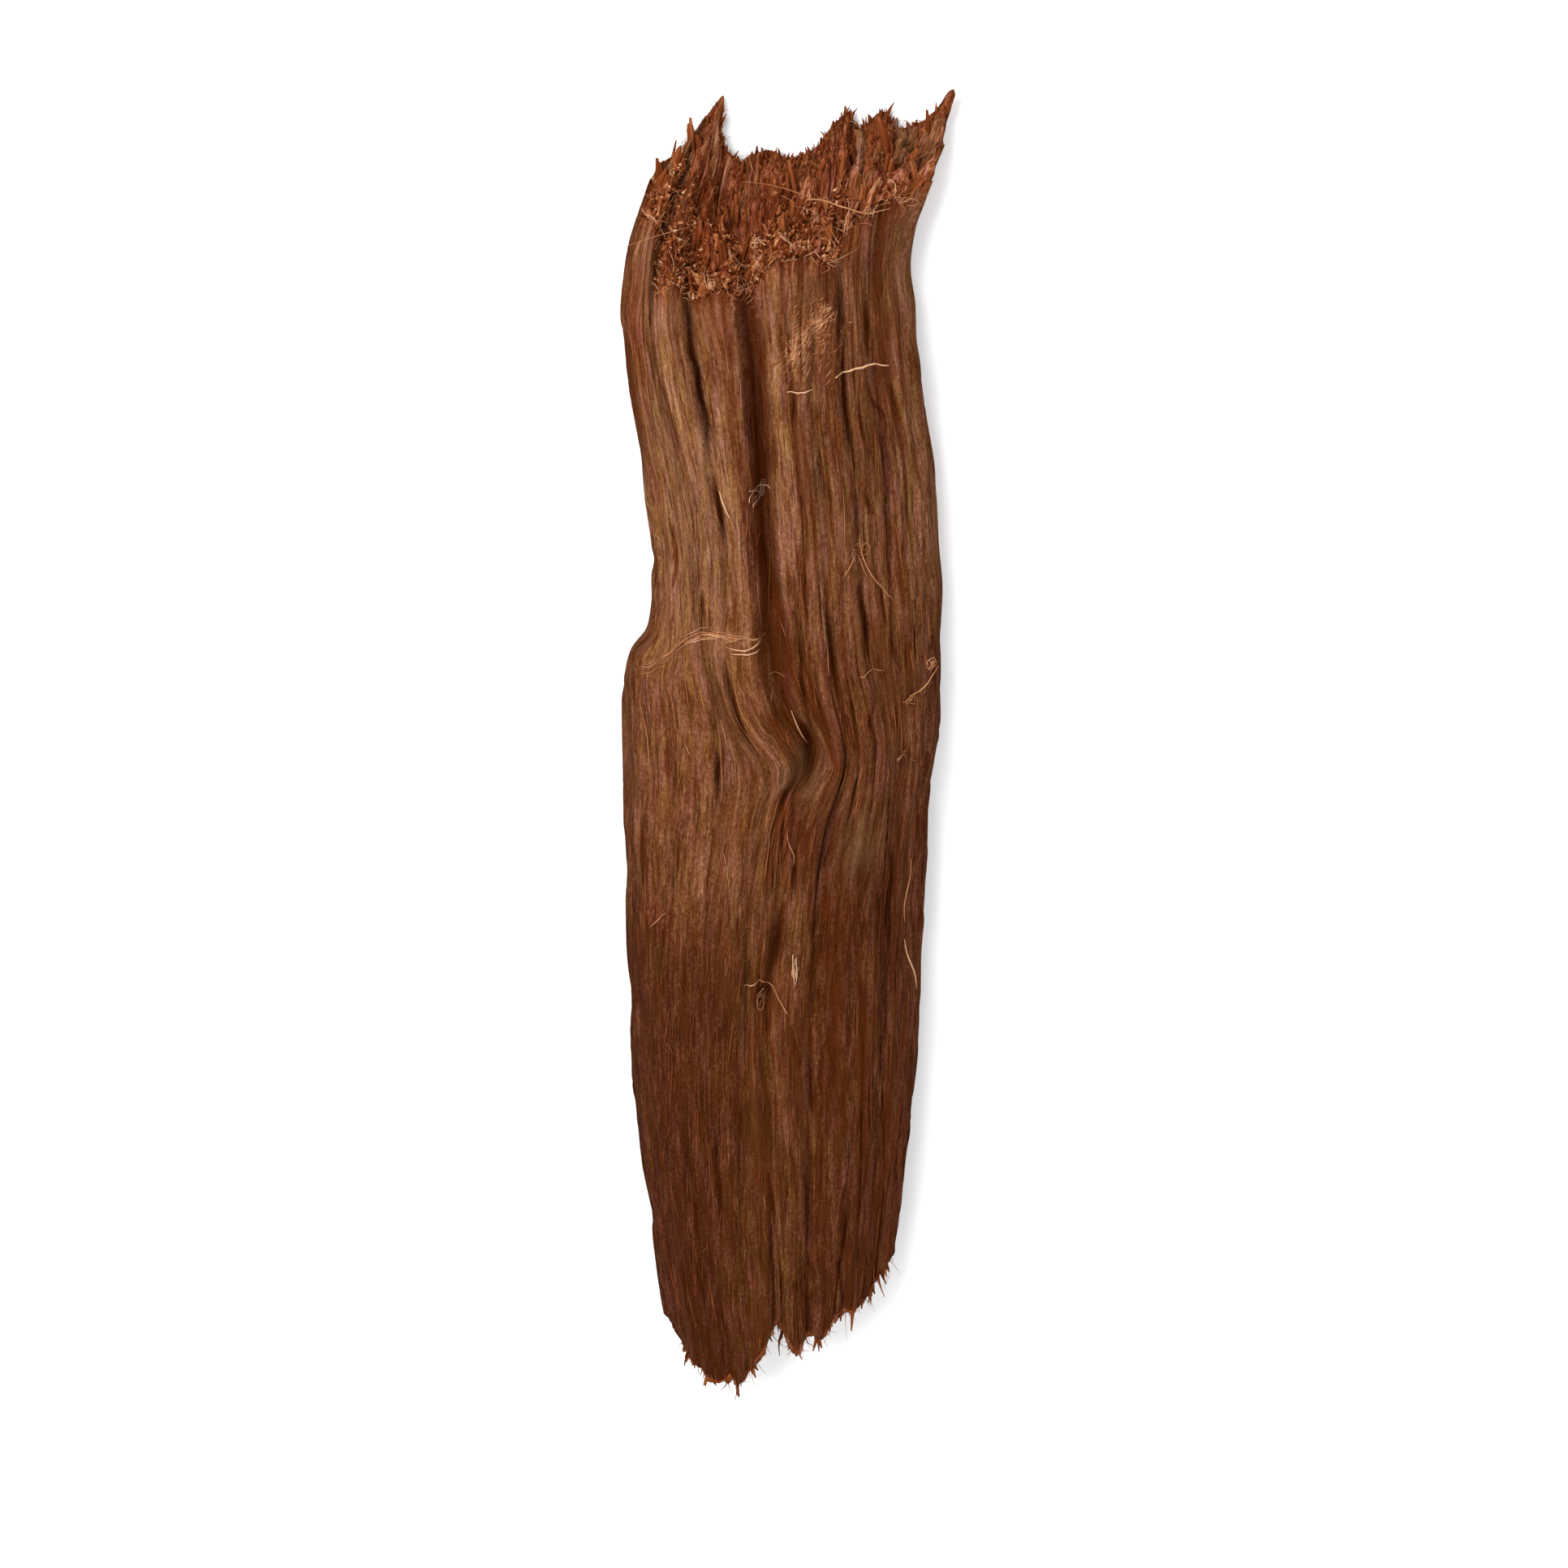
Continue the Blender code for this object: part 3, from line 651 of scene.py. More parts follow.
@dataclass(frozen=True)
class FineRelief:
    """Relief too fine for the solid: bundles, fibres, splits, flakes and grit along the grain,
    ledges at the torn rim, layers on the long edges, and fibres at the broken ends."""

    slow_drift: Ripple = Ripple(21, 7, 1 / 27, amount=0.7)
    quick_drift: Ripple = Ripple(22, 16, 1 / 12, amount=0.16)
    bundles: Strands = Strands(23, 38.0, 12.0, 0.20)
    fibres: Strands = Strands(24, 96.0, 5.0, 0.16, drift=2.2, size=128)
    bundle_part: float = 0.62
    splits: Strands = Strands(32, 17.0, 30.0, 0.55, drift=0.5)
    split_half: float = 0.07
    split_gate: Ripple = Ripple(33, 9, 1 / 13, slant=7)
    split_open: Span = (-0.1, 0.30)
    grit: Ripple = Ripple(35, 120, 1 / 1.1, size=192, amount=0.10)
    flake_patches: Ripple = Ripple(25, 15, 1 / 14, slant=9)
    flake_edges: Ripple = Ripple(26, 38, 1 / 8, slant=25, amount=0.45)
    flake_open: Span = (0.02, 0.12)
    flake_step: float = 0.30
    flake_level: float = 0.6
    # How strongly grooves, flakes and splits set the painted shade in the grooves.
    groove_gain: float = 1.15
    flake_fill: float = 0.1
    split_shade: float = 0.9
    ledge_gap: float = 0.95
    ledge_depth: float = 0.26
    ledge_reach: float = 2.6
    ledge_wander: Ripple = Ripple(34, 22, 0, amount=0.9)
    layer_depth: float = 0.30
    layer_slit: float = 0.16
    layer_wander: Ripple = Ripple(27, 1 / 11, 3, amount=0.8)
    layers: Ripple = Ripple(28, 2.1, 1 / 13, size=128)
    layers_apart: float = 13.0
    fray: Ripple = Ripple(29, 5, 1 / 4, size=128, amount=0.10)
    fray_apart: float = 31.0
    wall_power: float = 9.0
    tear_bundles: Ripple = Ripple(30, 62, 9)
    tear_fibres: Ripple = Ripple(31, 130, 16, size=160, amount=0.5)
    tear_power: float = 1.4
    tear_level: float = 0.5
    tear_round: float = 0.35
    lobe_share: Span = (0.44, 0.30)
    lobe_along: Span = (96.0, 82.0)
    lobe_calm: float = 0.45
    lobe_fill: float = 0.4
    edge_part: float = 0.35
    slits: tuple[Slit, ...] = (
        Slit((
            (113, -8), (116.7, -7.9), (119.3, -8.7), (121.9, -8.8), (123.2, -9.4),
            (129.4, -9.6),
        ), 0.34, 0.94),
        Slit(((102.4, -6.1), (106.9, -6.5), (110.6, -7.2)), 0.26, 0.65),
        Slit((
            (118.2, -13.4), (122.9, -13.5), (125.3, -14.1), (129.4, -14.4),
        ), 0.40, 0.65, shade=0.8),
        Slit(((121.9, 9.4), (125.5, 9), (129.4, 8.7)), 0.36, 0.94),
        Slit(((113.2, 11.3), (116.5, 11), (117.6, 9.9), (120.8, 9.1)), 0.24, 0.58),
        Slit(((109.3, 7.8), (112.2, 7.5), (115.8, 7), (120.4, 6.5), (125.5, 6.6)), 0.24, 0.65),
        Slit(((113.2, 8.8), (118, 8.2)), 0.18, 0.5),
        Slit(((107, 4.8), (111.4, 4.2), (114.9, 3.8)), 0.24, 0.65),
        Slit(((105.2, 9.8), (108.7, 8.8)), 0.34, 0.65),
        Slit(((115.4, 1), (119.9, 1.4)), 0.20, 0.65),
        Slit((
            (79.9, 3.9), (83.2, 3), (86.7, 2.3), (90.3, 2.1), (93.8, 1.7), (96.4, 1.5),
        ), 0.30, 0.86),
        Slit((
            (79.7, 7.6), (84.1, 6.6), (86.7, 6), (89.4, 5.5), (93.8, 5), (97, 4.5),
        ), 0.38, 0.94),
        Slit(((88.8, 9.6), (92.9, 9), (95.6, 8.6), (98.4, 8.3)), 0.36, 0.86),
        Slit(((77.9, 9.9), (81, 10.1), (83.2, 9.5), (85, 9.9), (87.8, 9.4)), 0.26, 0.65),
        Slit(((89.3, 12.4), (92.2, 11.8)), 0.24, 0.58),
        Slit(((86, 13.8), (92.9, 13.5)), 0.24, 0.58),
        Slit(((88.5, 14.8), (93.4, 14.6)), 0.20, 0.5),
        Slit((
            (78.9, -1.4), (80.6, -3), (84, -4.6), (87.4, -5.4), (91, -6.2),
        ), 0.24, 0.65, 0.30),
        Slit(((73.6, -6.8), (77.6, -7), (79.3, -6.5), (82.2, -6.7)), 0.34, 0.65, 0.22),
        Slit(((67.5, 0.1), (70.6, 0), (76.4, 0.4)), 0.30, 0.50),
        Slit((
            (63, -1.6), (68, -0.9), (73, 0.4), (76, 2), (79, 3.2),
        ), 1.15, -1.30, 0, 0),
        Slit(((67, 2.2), (72.5, 1.9)), 0.24, 0.58),
        Slit(((55, 12.1), (60, 11.8), (65.2, 12.1), (69.6, 11.6)), 0.34, 0.80),
        Slit(((56.5, 10.4), (60.5, 10.7), (64, 10.4)), 0.24, 0.50),
        Slit(((60, -15.2), (66, -15.6), (72, -15.4)), 0.30, 0.40),
        Slit(((92, 11.4), (95.5, 10.9), (99, 10.4)), 0.28, 0.60),
        Slit(((96, -12), (101.5, -11.6), (106, -12.4)), 0.24, 0.45),
        Slit(((94.1, -8.4), (98.2, -8.5)), 0.20, 0.5),
        Slit(((51.6, -1), (55.4, -0.6), (59.7, -0.1), (63.9, 0.4)), 0.52, 1.08),
        Slit(((64.5, -11.8), (70.5, -11.4)), 0.22, 0.43),
        Slit(((56.5, -4.8), (62, -4.9)), 0.20, 0.43),
        Slit(((36, 3.4), (44.5, 3)), 0.34, 0.72),
        Slit(((22, -6.8), (33, -7.4)), 0.30, 0.65),
        Slit(((14, 6.2), (24, 7.6)), 0.30, 0.65),
    )

    def drift(self, share: Array, along: Array) -> Array:
        """A slow sideways drift, so that fibres wander across the grain lines."""
        return self.slow_drift.at(share, along) + self.quick_drift.at(share, along)

    def open_splits(self, share: Array, along: Array, drift: Array) -> Array:
        """Long narrow splits: a soft spot at each 0 of a noise, let through by a slower noise."""
        gate = smooth_step(*self.split_open, self.split_gate.at(share, along))
        return spot(self.splits.noise(share, along, drift), 0.0, self.split_half) * gate

    def flakes(self, share: Array, along: Array) -> Array:
        """Where a thin flake still lies on the surface, 0 to 1, with edges torn along fibres."""
        patch = self.flake_patches.at(share, along) + self.flake_edges.at(share, along)
        return smooth_step(*self.flake_open, patch)

    def ledges(self, share: Array, to_rim: Array) -> Array:
        """Thin layers that end one below the other near the torn rim: a saw that fades from it."""
        place = to_rim / self.ledge_gap + self.ledge_wander.at(share, to_rim)
        return self.ledge_depth * (place % 1 - 1) * np.exp(-to_rim / self.ledge_reach)

    def outer(self, share: Array, along: Array) -> tuple[Array, Array]:
        """The outer face's relief and how deep in a groove each point lies.

        Args:
            share: across, 0 to 1.
            along: in millimetres.

        Returns:
            The height to add, at most a hair above 0, and the groove's depth from 0 to 1, which
            darkens the colour as painted shade.
        """
        drift = self.drift(share, along)
        bundles = self.bundles.rounded(share, along, drift)
        fibres = self.fibres.rounded(share, along, drift)
        flakes, splits = self.flakes(share, along), self.open_splits(share, along, drift)
        height = self.bundles.height(bundles) + self.fibres.height(fibres)
        height += self.grit.at(share, along)
        height += self.flake_step * (flakes - self.flake_level) - self.splits.depth * splits
        groove = 1 - np.clip(self.bundle_part * bundles + (1 - self.bundle_part) * fibres, 0, 1)
        groove = self.groove_gain * groove - self.flake_fill * flakes + self.split_shade * splits
        return height, np.clip(groove, 0, 1)

    def walls(self, side: Array, along: Array, height: Array) -> Array:
        """Thin layers along the two long edges, with narrow slits between them.

        Args:
            side: from -1 at the left edge to 1 at the right.
            along: in millimetres.
            height: in millimetres.

        Returns:
            The shift across, in millimetres.
        """
        edge = np.sign(side)
        shift = self.layers_apart * edge + self.layer_wander.at(along, side)
        layer = self.layers.at(height, along, shift)
        fray = self.fray.at(height, along, self.fray_apart * edge)
        relief = self.layer_depth * (layer - spot(layer, 0.0, self.layer_slit)) + fray
        return side * np.abs(side) ** self.wall_power * relief

    def tear(self, share: Array, deep: Array) -> Array:
        """How far single fibres stand out of a broken end, in millimetres."""
        reach = np.abs(self.tear_bundles.at(share, deep)) ** self.tear_power - self.tear_level
        return (reach + self.tear_fibres.at(share, deep)) * np.sin(np.pi * deep) ** self.tear_round


@dataclass(frozen=True)
class Socket:
    """One output of a node in a material, on which Python's operators add Math nodes."""

    book: "NodeBook"
    link: bpy.types.NodeSocket

    def math(self, operation: str, first: object, second: object = None) -> "Socket":
        """A Math node on one or two values.

        Args:
            operation: the Math node's operation.
            first: a socket or number.
            second: a socket or number, or None for an operation on one value.

        Returns:
            The node's result.
        """
        given = {0: first} if second is None else {0: first, 1: second}
        return self.book.node("ShaderNodeMath", {"operation": operation}, given)

    def __add__(self, other: object) -> "Socket":
        """Sum."""
        return self.math("ADD", self, other)

    def __sub__(self, other: object) -> "Socket":
        """Difference."""
        return self.math("SUBTRACT", self, other)

    def __rsub__(self, other: object) -> "Socket":
        """Difference, with this value second."""
        return self.math("SUBTRACT", other, self)

    def __mul__(self, other: object) -> "Socket":
        """Product."""
        return self.math("MULTIPLY", self, other)

    __radd__ = __add__
    __rmul__ = __mul__

    def magnitude(self) -> "Socket":
        """The value without its sign."""
        return self.math("ABSOLUTE", self)

    def clamped(self) -> "Socket":
        """The value held between 0 and 1."""
        return self.math("MINIMUM", self.math("MAXIMUM", self, 0.0), 1.0)

    def spread(self, low: float, high: float) -> "Socket":
        """The value's range from low to high stretched to 0 to 1, and held there."""
        return ((self - low) * (1.0 / (high - low))).clamped()


class NodeBook:
    """The nodes of one material."""

    def __init__(self, name: str) -> None:
        """Starts a material with only its Principled shader and output.

        Args:
            name: the material's name.
        """
        self.material = bpy.data.materials.new(name)
        self.material.use_nodes = True
        self.tree = self.material.node_tree
        self.surface = self.tree.nodes["Principled BSDF"]

    def node(
        self, kind: str, settings: dict[str, object], inputs: dict, output: object = 0
    ) -> Socket:
        """Adds a node.

        Args:
            kind: the node's type.
            settings: its own settings, which are set before its sockets; "stops" are a ramp's.
            inputs: values or sockets by the input's name or number.
            output: the name or number of the output that is wanted.

        Returns:
            That output.
        """
        made = self.tree.nodes.new(kind)
        for name, value in settings.items():
            if name == "stops":
                self.set_stops(made.color_ramp, value)
            else:
                setattr(made, name, value)
        for name, value in inputs.items():
            self.feed(made.inputs[name], value)
        return Socket(self, made.outputs[output])

    def set_stops(self, ramp: bpy.types.ColorRamp, stops: Stops) -> None:
        """Sets a ramp's stops.

        Args:
            ramp: the colour ramp.
            stops: (place, colour) pairs, in order.
        """
        while len(ramp.elements) < len(stops):
            ramp.elements.new(1.0)
        for element, (place, colour) in zip(ramp.elements, stops):
            element.position, element.color = place, (*colour, 1.0)

    def feed(self, socket: bpy.types.NodeSocket, value: object) -> None:
        """Links a socket, or sets its value; a colour gets its alpha.

        Args:
            socket: an input.
            value: a Socket, a number, a vector or a colour.
        """
        if isinstance(value, Socket):
            self.tree.links.new(value.link, socket)
        elif isinstance(value, tuple) and len(socket.default_value) == 4 and len(value) == 3:
            socket.default_value = (*value, 1.0)
        else:
            socket.default_value = value

    def feed_surface(self, **values: object) -> None:
        """Feeds the shader's inputs, named with _ for each space."""
        for name, value in values.items():
            self.feed(self.surface.inputs[name.replace("_", " ")], value)

    def attribute(self, name: str, output: str = "Fac") -> Socket:
        """One of the piece's own attributes."""
        settings = {"attribute_name": name, "attribute_type": "GEOMETRY"}
        return self.node("ShaderNodeAttribute", settings, {}, output)

    def stretched(self, place: Socket, stretch: Colour) -> Socket:
        """A vector multiplied part by part."""
        given = {0: place, 1: stretch}
        return self.node("ShaderNodeVectorMath", {"operation": "MULTIPLY"}, given)

    def streaks(self, place: Socket, look: "Streaks") -> Socket:
        """Noise from 0 to 1, drawn out along the grain.

        Args:
            place: the coordinates.
            look: its counts and roughness.

        Returns:
            The noise.
        """
        given = {
            "Vector": self.stretched(place, look.counts), "Scale": 1.0, "Detail": look.detail,
            "Roughness": look.rough, "Distortion": look.bend,
        }
        return self.node("ShaderNodeTexNoise", {"noise_dimensions": "3D"}, given, "Fac")

    def mix(self, factor: object, first: object, second: object, blend: str = "MIX") -> Socket:
        """Two colours mixed: the first where the factor is 0."""
        settings = {"data_type": "RGBA", "blend_type": blend, "clamp_factor": True}
        return self.node("ShaderNodeMix", settings, {0: factor, 6: first, 7: second}, 2)

    def ramp(self, factor: Socket, stops: Stops) -> Socket:
        """A colour ramp."""
        return self.node("ShaderNodeValToRGB", {"stops": stops}, {0: factor}, "Color")

    def bump(self, height: Socket, distance: float, strength: float) -> Socket:
        """A Bump node over a height."""
        given = {"Height": height, "Distance": distance, "Strength": strength}
        return self.node("ShaderNodeBump", {}, given, "Normal")


@dataclass(frozen=True)
class Streaks:
    """One noise of a finish: its counts to a millimetre each way, its detail, roughness and bend,
    and how much of it goes into the value and into the bump's height."""

    counts: Colour
    detail: float
    rough: float
    bend: float = 0.0
    in_value: float = 0.0
    in_height: float = 0.0


@dataclass(frozen=True)
class BarkFinish:
    """Dry fibrous bark: tan on the left lobe, red-brown on the right, purple-brown in furrows and
    orange-red where it is torn, with painted shade in the grooves and deep in the cracks. Patterns
    are read in the grain's own coordinates."""

    name: str = "bark_fibrous"
    roughness: float = 0.88
    rough_change: float = 0.20
    specular: float = 0.02
    bump_depth: float = 0.50
    tan: Stops = (
        (0.00, (0.086, 0.025, 0.0060)), (0.32, (0.146, 0.054, 0.0205)),
        (0.62, (0.216, 0.096, 0.043)), (1.00, (0.325, 0.172, 0.090)),
    )
    brown: Stops = (
        (0.00, (0.044, 0.0090, 0.0018)), (0.32, (0.074, 0.0215, 0.0085)),
        (0.62, (0.118, 0.040, 0.0190)), (1.00, (0.228, 0.102, 0.053)),
    )
    plum: Stops = (
        (0.00, (0.054, 0.011, 0.0035)), (0.32, (0.086, 0.021, 0.0098)),
        (0.62, (0.128, 0.039, 0.021)), (1.00, (0.225, 0.096, 0.058)),
    )
    torn: Stops = (
        (0.00, (0.036, 0.0048, 0.0007)), (0.32, (0.106, 0.021, 0.0062)),
        (0.62, (0.205, 0.057, 0.021)), (1.00, (0.420, 0.190, 0.108)),
    )
    # The colour of the painted shade in the grooves, slits and pit.
    groove: Colour = (0.066, 0.0125, 0.0014)
    groove_open: Span = (0.48, 1.30)
    # The colour of the painted shade deep in the furrows and cracks, a deep red-brown.
    deep: Colour = (0.180, 0.038, 0.0060)
    olive: Colour = (0.118, 0.078, 0.034)
    olive_part: float = 0.75
    ochre_tint: Colour = (1.00, 1.05, 0.74)
    pink_tint: Colour = (1.03, 0.95, 1.24)
    tint_change: Span = (0.40, 0.62)
    layers: tuple[Streaks, ...] = (
        Streaks((0.8, 0.070, 0.8), 2.0, 0.60, 0.4, in_value=0.8),
        Streaks((1.8, 0.25, 1.8), 3.0, 0.62, 0.6, in_value=1.2, in_height=0.25),
        Streaks((3.6, 0.38, 3.6), 3.0, 0.68, 0.4, in_value=1.1, in_height=0.28),
        Streaks((7.0, 1.40, 7.0), 3.0, 0.70, 0.3, in_value=0.9, in_height=0.24),
        Streaks((3.2, 2.2, 3.2), 3.0, 0.70, in_value=1.2, in_height=0.55),
    )
    value_level: float = 0.49
    seam: Streaks = Streaks((1.5, 0.060, 1.5), 2.0, 0.6, 0.3)
    seam_sharpness: float = 34.0
    seam_depth: float = 0.30
    seam_gate: Streaks = Streaks((0.5, 0.120, 0.5), 1.0, 0.5)
    seam_open: Span = (0.46, 0.58)
    patch: Streaks = Streaks((0.22, 0.040, 0.22), 2.0, 0.5)
    blotch: Streaks = Streaks((0.55, 0.16, 0.55), 3.0, 0.6)
    blush: Streaks = Streaks((1.2, 0.16, 1.2), 3.0, 0.65, 0.4)

    def pattern(self, book: NodeBook, grain: Socket) -> tuple[Socket, Socket]:
        """The fibre pattern: bundles, streaks, fibres, hairs and specks, each a noise drawn out
        along the grain, with thin dark lines where a further noise is near its middle.

        Args:
            book: the material's nodes.
            grain: the grain's coordinates.

        Returns:
            The value from dark to light, and the height for the bump.
        """
        seam = (book.streaks(grain, self.seam) - 0.5).magnitude() * self.seam_sharpness
        gate = book.streaks(grain, self.seam_gate).spread(*self.seam_open)
        line = (1.0 - seam).clamped() * gate * self.seam_depth
        value, height = self.value_level - line, 0.0 - line
        for layer in self.layers:
            streaks = book.streaks(grain, layer)
            value = value + (streaks - 0.5) * layer.in_value
            height = height + streaks * layer.in_height
        return value, height

    def colour(self, book: NodeBook, value: Socket, patch: Socket, blotch: Socket) -> Socket:
        """The colour: tan mixed to brown, plum, torn and tinted bark, then olive, then painted
        shade in the grooves and deep in the cracks.

        Args:
            book: the material's nodes.
            value: from dark to light.
            patch: a broad noise.
            blotch: a middling one.

        Returns:
            The colour.
        """
        tone = (book.attribute("tone") + (patch - 0.5) + (blotch - 0.5) * 0.5).clamped()
        colour = book.mix(tone, book.ramp(value, self.tan), book.ramp(value, self.brown))
        plum = (book.attribute("plum") * (blotch * 0.8 + 0.7)).clamped()
        colour = book.mix(plum, colour, book.ramp(value, self.plum))
        colour = book.mix(book.attribute("torn"), colour, book.ramp(value, self.torn))
        blush = book.streaks(book.attribute("grain", "Vector"), self.blush) * 0.6 + blotch * 0.4
        tint = book.mix(blush.spread(*self.tint_change), self.ochre_tint, self.pink_tint)
        colour = book.mix(1.0, colour, tint, "MULTIPLY")
        olive = (book.attribute("olive") * (blotch * 1.6)).clamped() * self.olive_part
        colour = book.mix(olive, colour, self.olive)
        # Painted shade: darker in the grooves, and a deep red-brown deep in the cracks.
        groove = book.attribute("groove").spread(*self.groove_open)
        colour = book.mix(groove, colour, self.groove)
        # Painted shade deep in the furrows and cracks.
        return book.mix(book.attribute("cavity"), colour, self.deep)

    def make(self) -> bpy.types.Material:
        """Builds the material.

        Returns:
            The material, which reads the attributes grain, tone, plum, pale, torn, groove, cavity
            and olive.
        """
        book = NodeBook(self.name)
        grain = book.attribute("grain", "Vector")
        value, height = self.pattern(book, grain)
        patch, blotch = book.streaks(grain, self.patch), book.streaks(grain, self.blotch)
        value = value + book.attribute("pale") * 0.34 + (blotch - 0.5) * 0.50
        # Painted shade: the value is darker in the grooves.
        value = (value - book.attribute("groove") * 0.22 + 0.03).clamped()
        book.feed_surface(
            Base_Color=self.colour(book, value, patch, blotch),
            Roughness=((value - 0.5) * self.rough_change + self.roughness).clamped(),
            Normal=book.bump(height, self.bump_depth * MM, 1.0),
            Specular_IOR_Level=self.specular,
        )
        return book.material


@dataclass(frozen=True)
class ThreadFinish:
    """Single fibres: each has its own tone, from dark brown through orange-red and tan to pale."""

    name: str = "bark_threads"
    roughness: float = 0.85
    specular: float = 0.02
    mottle: Streaks = Streaks((900.0, 300.0, 900.0), 2.0, 0.6, in_value=0.35)
    stops: Stops = (
        (0.00, (0.042, 0.007, 0.001)), (0.28, (0.135, 0.031, 0.008)),
        (0.52, (0.250, 0.078, 0.026)), (0.76, (0.400, 0.185, 0.085)),
        (1.00, (0.640, 0.410, 0.250)),
    )

    def make(self) -> bpy.types.Material:
        """Builds the material, which reads the attribute tone.

        Returns:
            The material.
        """
        book = NodeBook(self.name)
        place = book.node("ShaderNodeTexCoord", {}, {}, "Object")
        mottle = (book.streaks(place, self.mottle) - 0.5) * self.mottle.in_value
        book.feed_surface(
            Base_Color=book.ramp((book.attribute("tone") + mottle).clamped(), self.stops),
            Roughness=self.roughness, Specular_IOR_Level=self.specular,
        )
        return book.material


@dataclass(frozen=True)
class FloorFinish:
    """A plain pale floor. Its far part glows, so that it stays pale in low views too."""

    name: str = "pale_floor"
    colour: Colour = (0.86, 0.86, 0.86)
    roughness: float = 0.9
    specular: float = 0.1
    glow: Stops = ((0.00, (0.0, 0.0, 0.0)), (0.16, (0.0, 0.0, 0.0)), (0.45, (0.20, 0.20, 0.20)))

    def make(self) -> bpy.types.Material:
        """Builds the material. The glow grows with the distance from the middle, in metres.

        Returns:
            The material.
        """
        book = NodeBook(self.name)
        place = book.node("ShaderNodeTexCoord", {}, {}, "Object")
        far = book.node("ShaderNodeVectorMath", {"operation": "LENGTH"}, {0: place}, "Value")
        book.feed_surface(
            Emission_Color=book.ramp(far, self.glow), Emission_Strength=1.0,
            Base_Color=self.colour, Roughness=self.roughness, Specular_IOR_Level=self.specular,
        )
        return book.material


def new_piece(
    name: str, points: Array, faces: list, material: bpy.types.Material
) -> bpy.types.Object:
    """Puts a closed surface into the scene, with its faces turned outwards.

    Args:
        name: the piece's name.
        points: in slab coordinates, in millimetres.
        faces: the point numbers of each face.
        material: its finish.

    Returns:
        The piece, at the origin, which rides on the body; the solid's bark piece is hidden.
    """
    mesh = bpy.data.meshes.new(name)
    mesh.from_pydata((into_frame(points) * MM).tolist(), [], faces)
    work = bmesh.new()
    work.from_mesh(mesh)
    bmesh.ops.recalc_face_normals(work, faces=work.faces)
    work.to_mesh(mesh)
    work.free()
    mesh.materials.append(material)
    mesh.shade_smooth()
    piece = bpy.data.objects.new(name, mesh)
    bpy.context.scene.collection.objects.link(piece)
    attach(piece, BODY)
    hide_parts(NODE)
    return piece


def into_frame(points: Array) -> Array:
    """Slab coordinates moved to the frame's, and held inside the solid's box.

    Args:
        points: in slab coordinates, in millimetres.

    Returns:
        The same in the frame's coordinates, in millimetres.
    """
    low, high = (np.array(corner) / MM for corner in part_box(NODE))
    moved = points - np.array([*FORM.middle, 0.0])
    return np.clip(moved, low + [BOX_MARGIN, BOX_MARGIN, 0.0], high - BOX_MARGIN)


def add_attribute(piece: bpy.types.Object, name: str, values: Array) -> None:
    """Gives a piece's points a number or a vector each.

    Args:
        piece: the piece.
        name: the attribute's name.
        values: one number, or one row of three, for each point.
    """
    kind, part = ("FLOAT", "value") if values.ndim == 1 else ("FLOAT_VECTOR", "vector")
    made = piece.data.attributes.new(name, kind, "POINT")
    made.data.foreach_set(part, values.astype(np.float32).ravel())


FORM = SlabForm()
RELIEF = FineRelief()


def fine_outer(share: Array, across: Array, along: Array) -> tuple[Array, Array]:
    """The outer face with its fine relief, which is weaker towards the long edges and on the
    smooth skin of the left lobe.

    Args:
        share: across, 0 to 1.
        across: the same in millimetres.
        along: in millimetres.

    Returns:
        The height, and how deep in a groove each point lies, which is painted as shade.
    """
    relief, groove = RELIEF.outer(share, along)
    smooth = smooth_step(*RELIEF.lobe_share, share) * smooth_step(*RELIEF.lobe_along, along)
    crown, edge = FORM.crown(share), RELIEF.edge_part
    weaker = (edge + (1 - edge) * crown**0.5) * (1 - RELIEF.lobe_calm * smooth)
    to_rim = np.clip(through(FORM.torn_outer, share) - along, 0, None)
    relief = relief * weaker + RELIEF.ledges(share, to_rim) * crown
    groove = groove * (1 - RELIEF.lobe_fill * smooth)
    for slit in RELIEF.slits:
        height, dark = slit.cut(across, along)
        relief, groove = relief + height, np.maximum(groove, dark)
    return FORM.outer_height(share, across, along) + relief, groove


def on_face(across: Array, along: Array, lift: Array) -> Array:
    """Points a given lift above the outer face.

    Args:
        across: in millimetres.
        along: in millimetres.
        lift: in millimetres above the fine surface.

    Returns:
        The points, in the shape of the arrays given.
    """
    flat = across.ravel(), along.ravel()
    height, _ = fine_outer(FORM.grain.share_of(*flat), *flat)
    return np.stack([across, along, height.reshape(across.shape) + lift], axis=-1)


def numbered(on: Array) -> Array:
    """The number of each point of a block that is kept, or -1."""
    index = np.full(on.shape, -1)
    index[on] = np.arange(on.sum())
    return index


def fine_faces(sheets: list[Array]) -> list:
    """The quads of some grids of point numbers.

    Args:
        sheets: the grids.

    Returns:
        The point numbers of each quad.
    """
    quads = [
        np.stack([s[:-1, :-1], s[1:, :-1], s[1:, 1:], s[:-1, 1:]], axis=-1).reshape(-1, 4)
        for s in sheets
    ]
    return np.concatenate(quads).tolist()


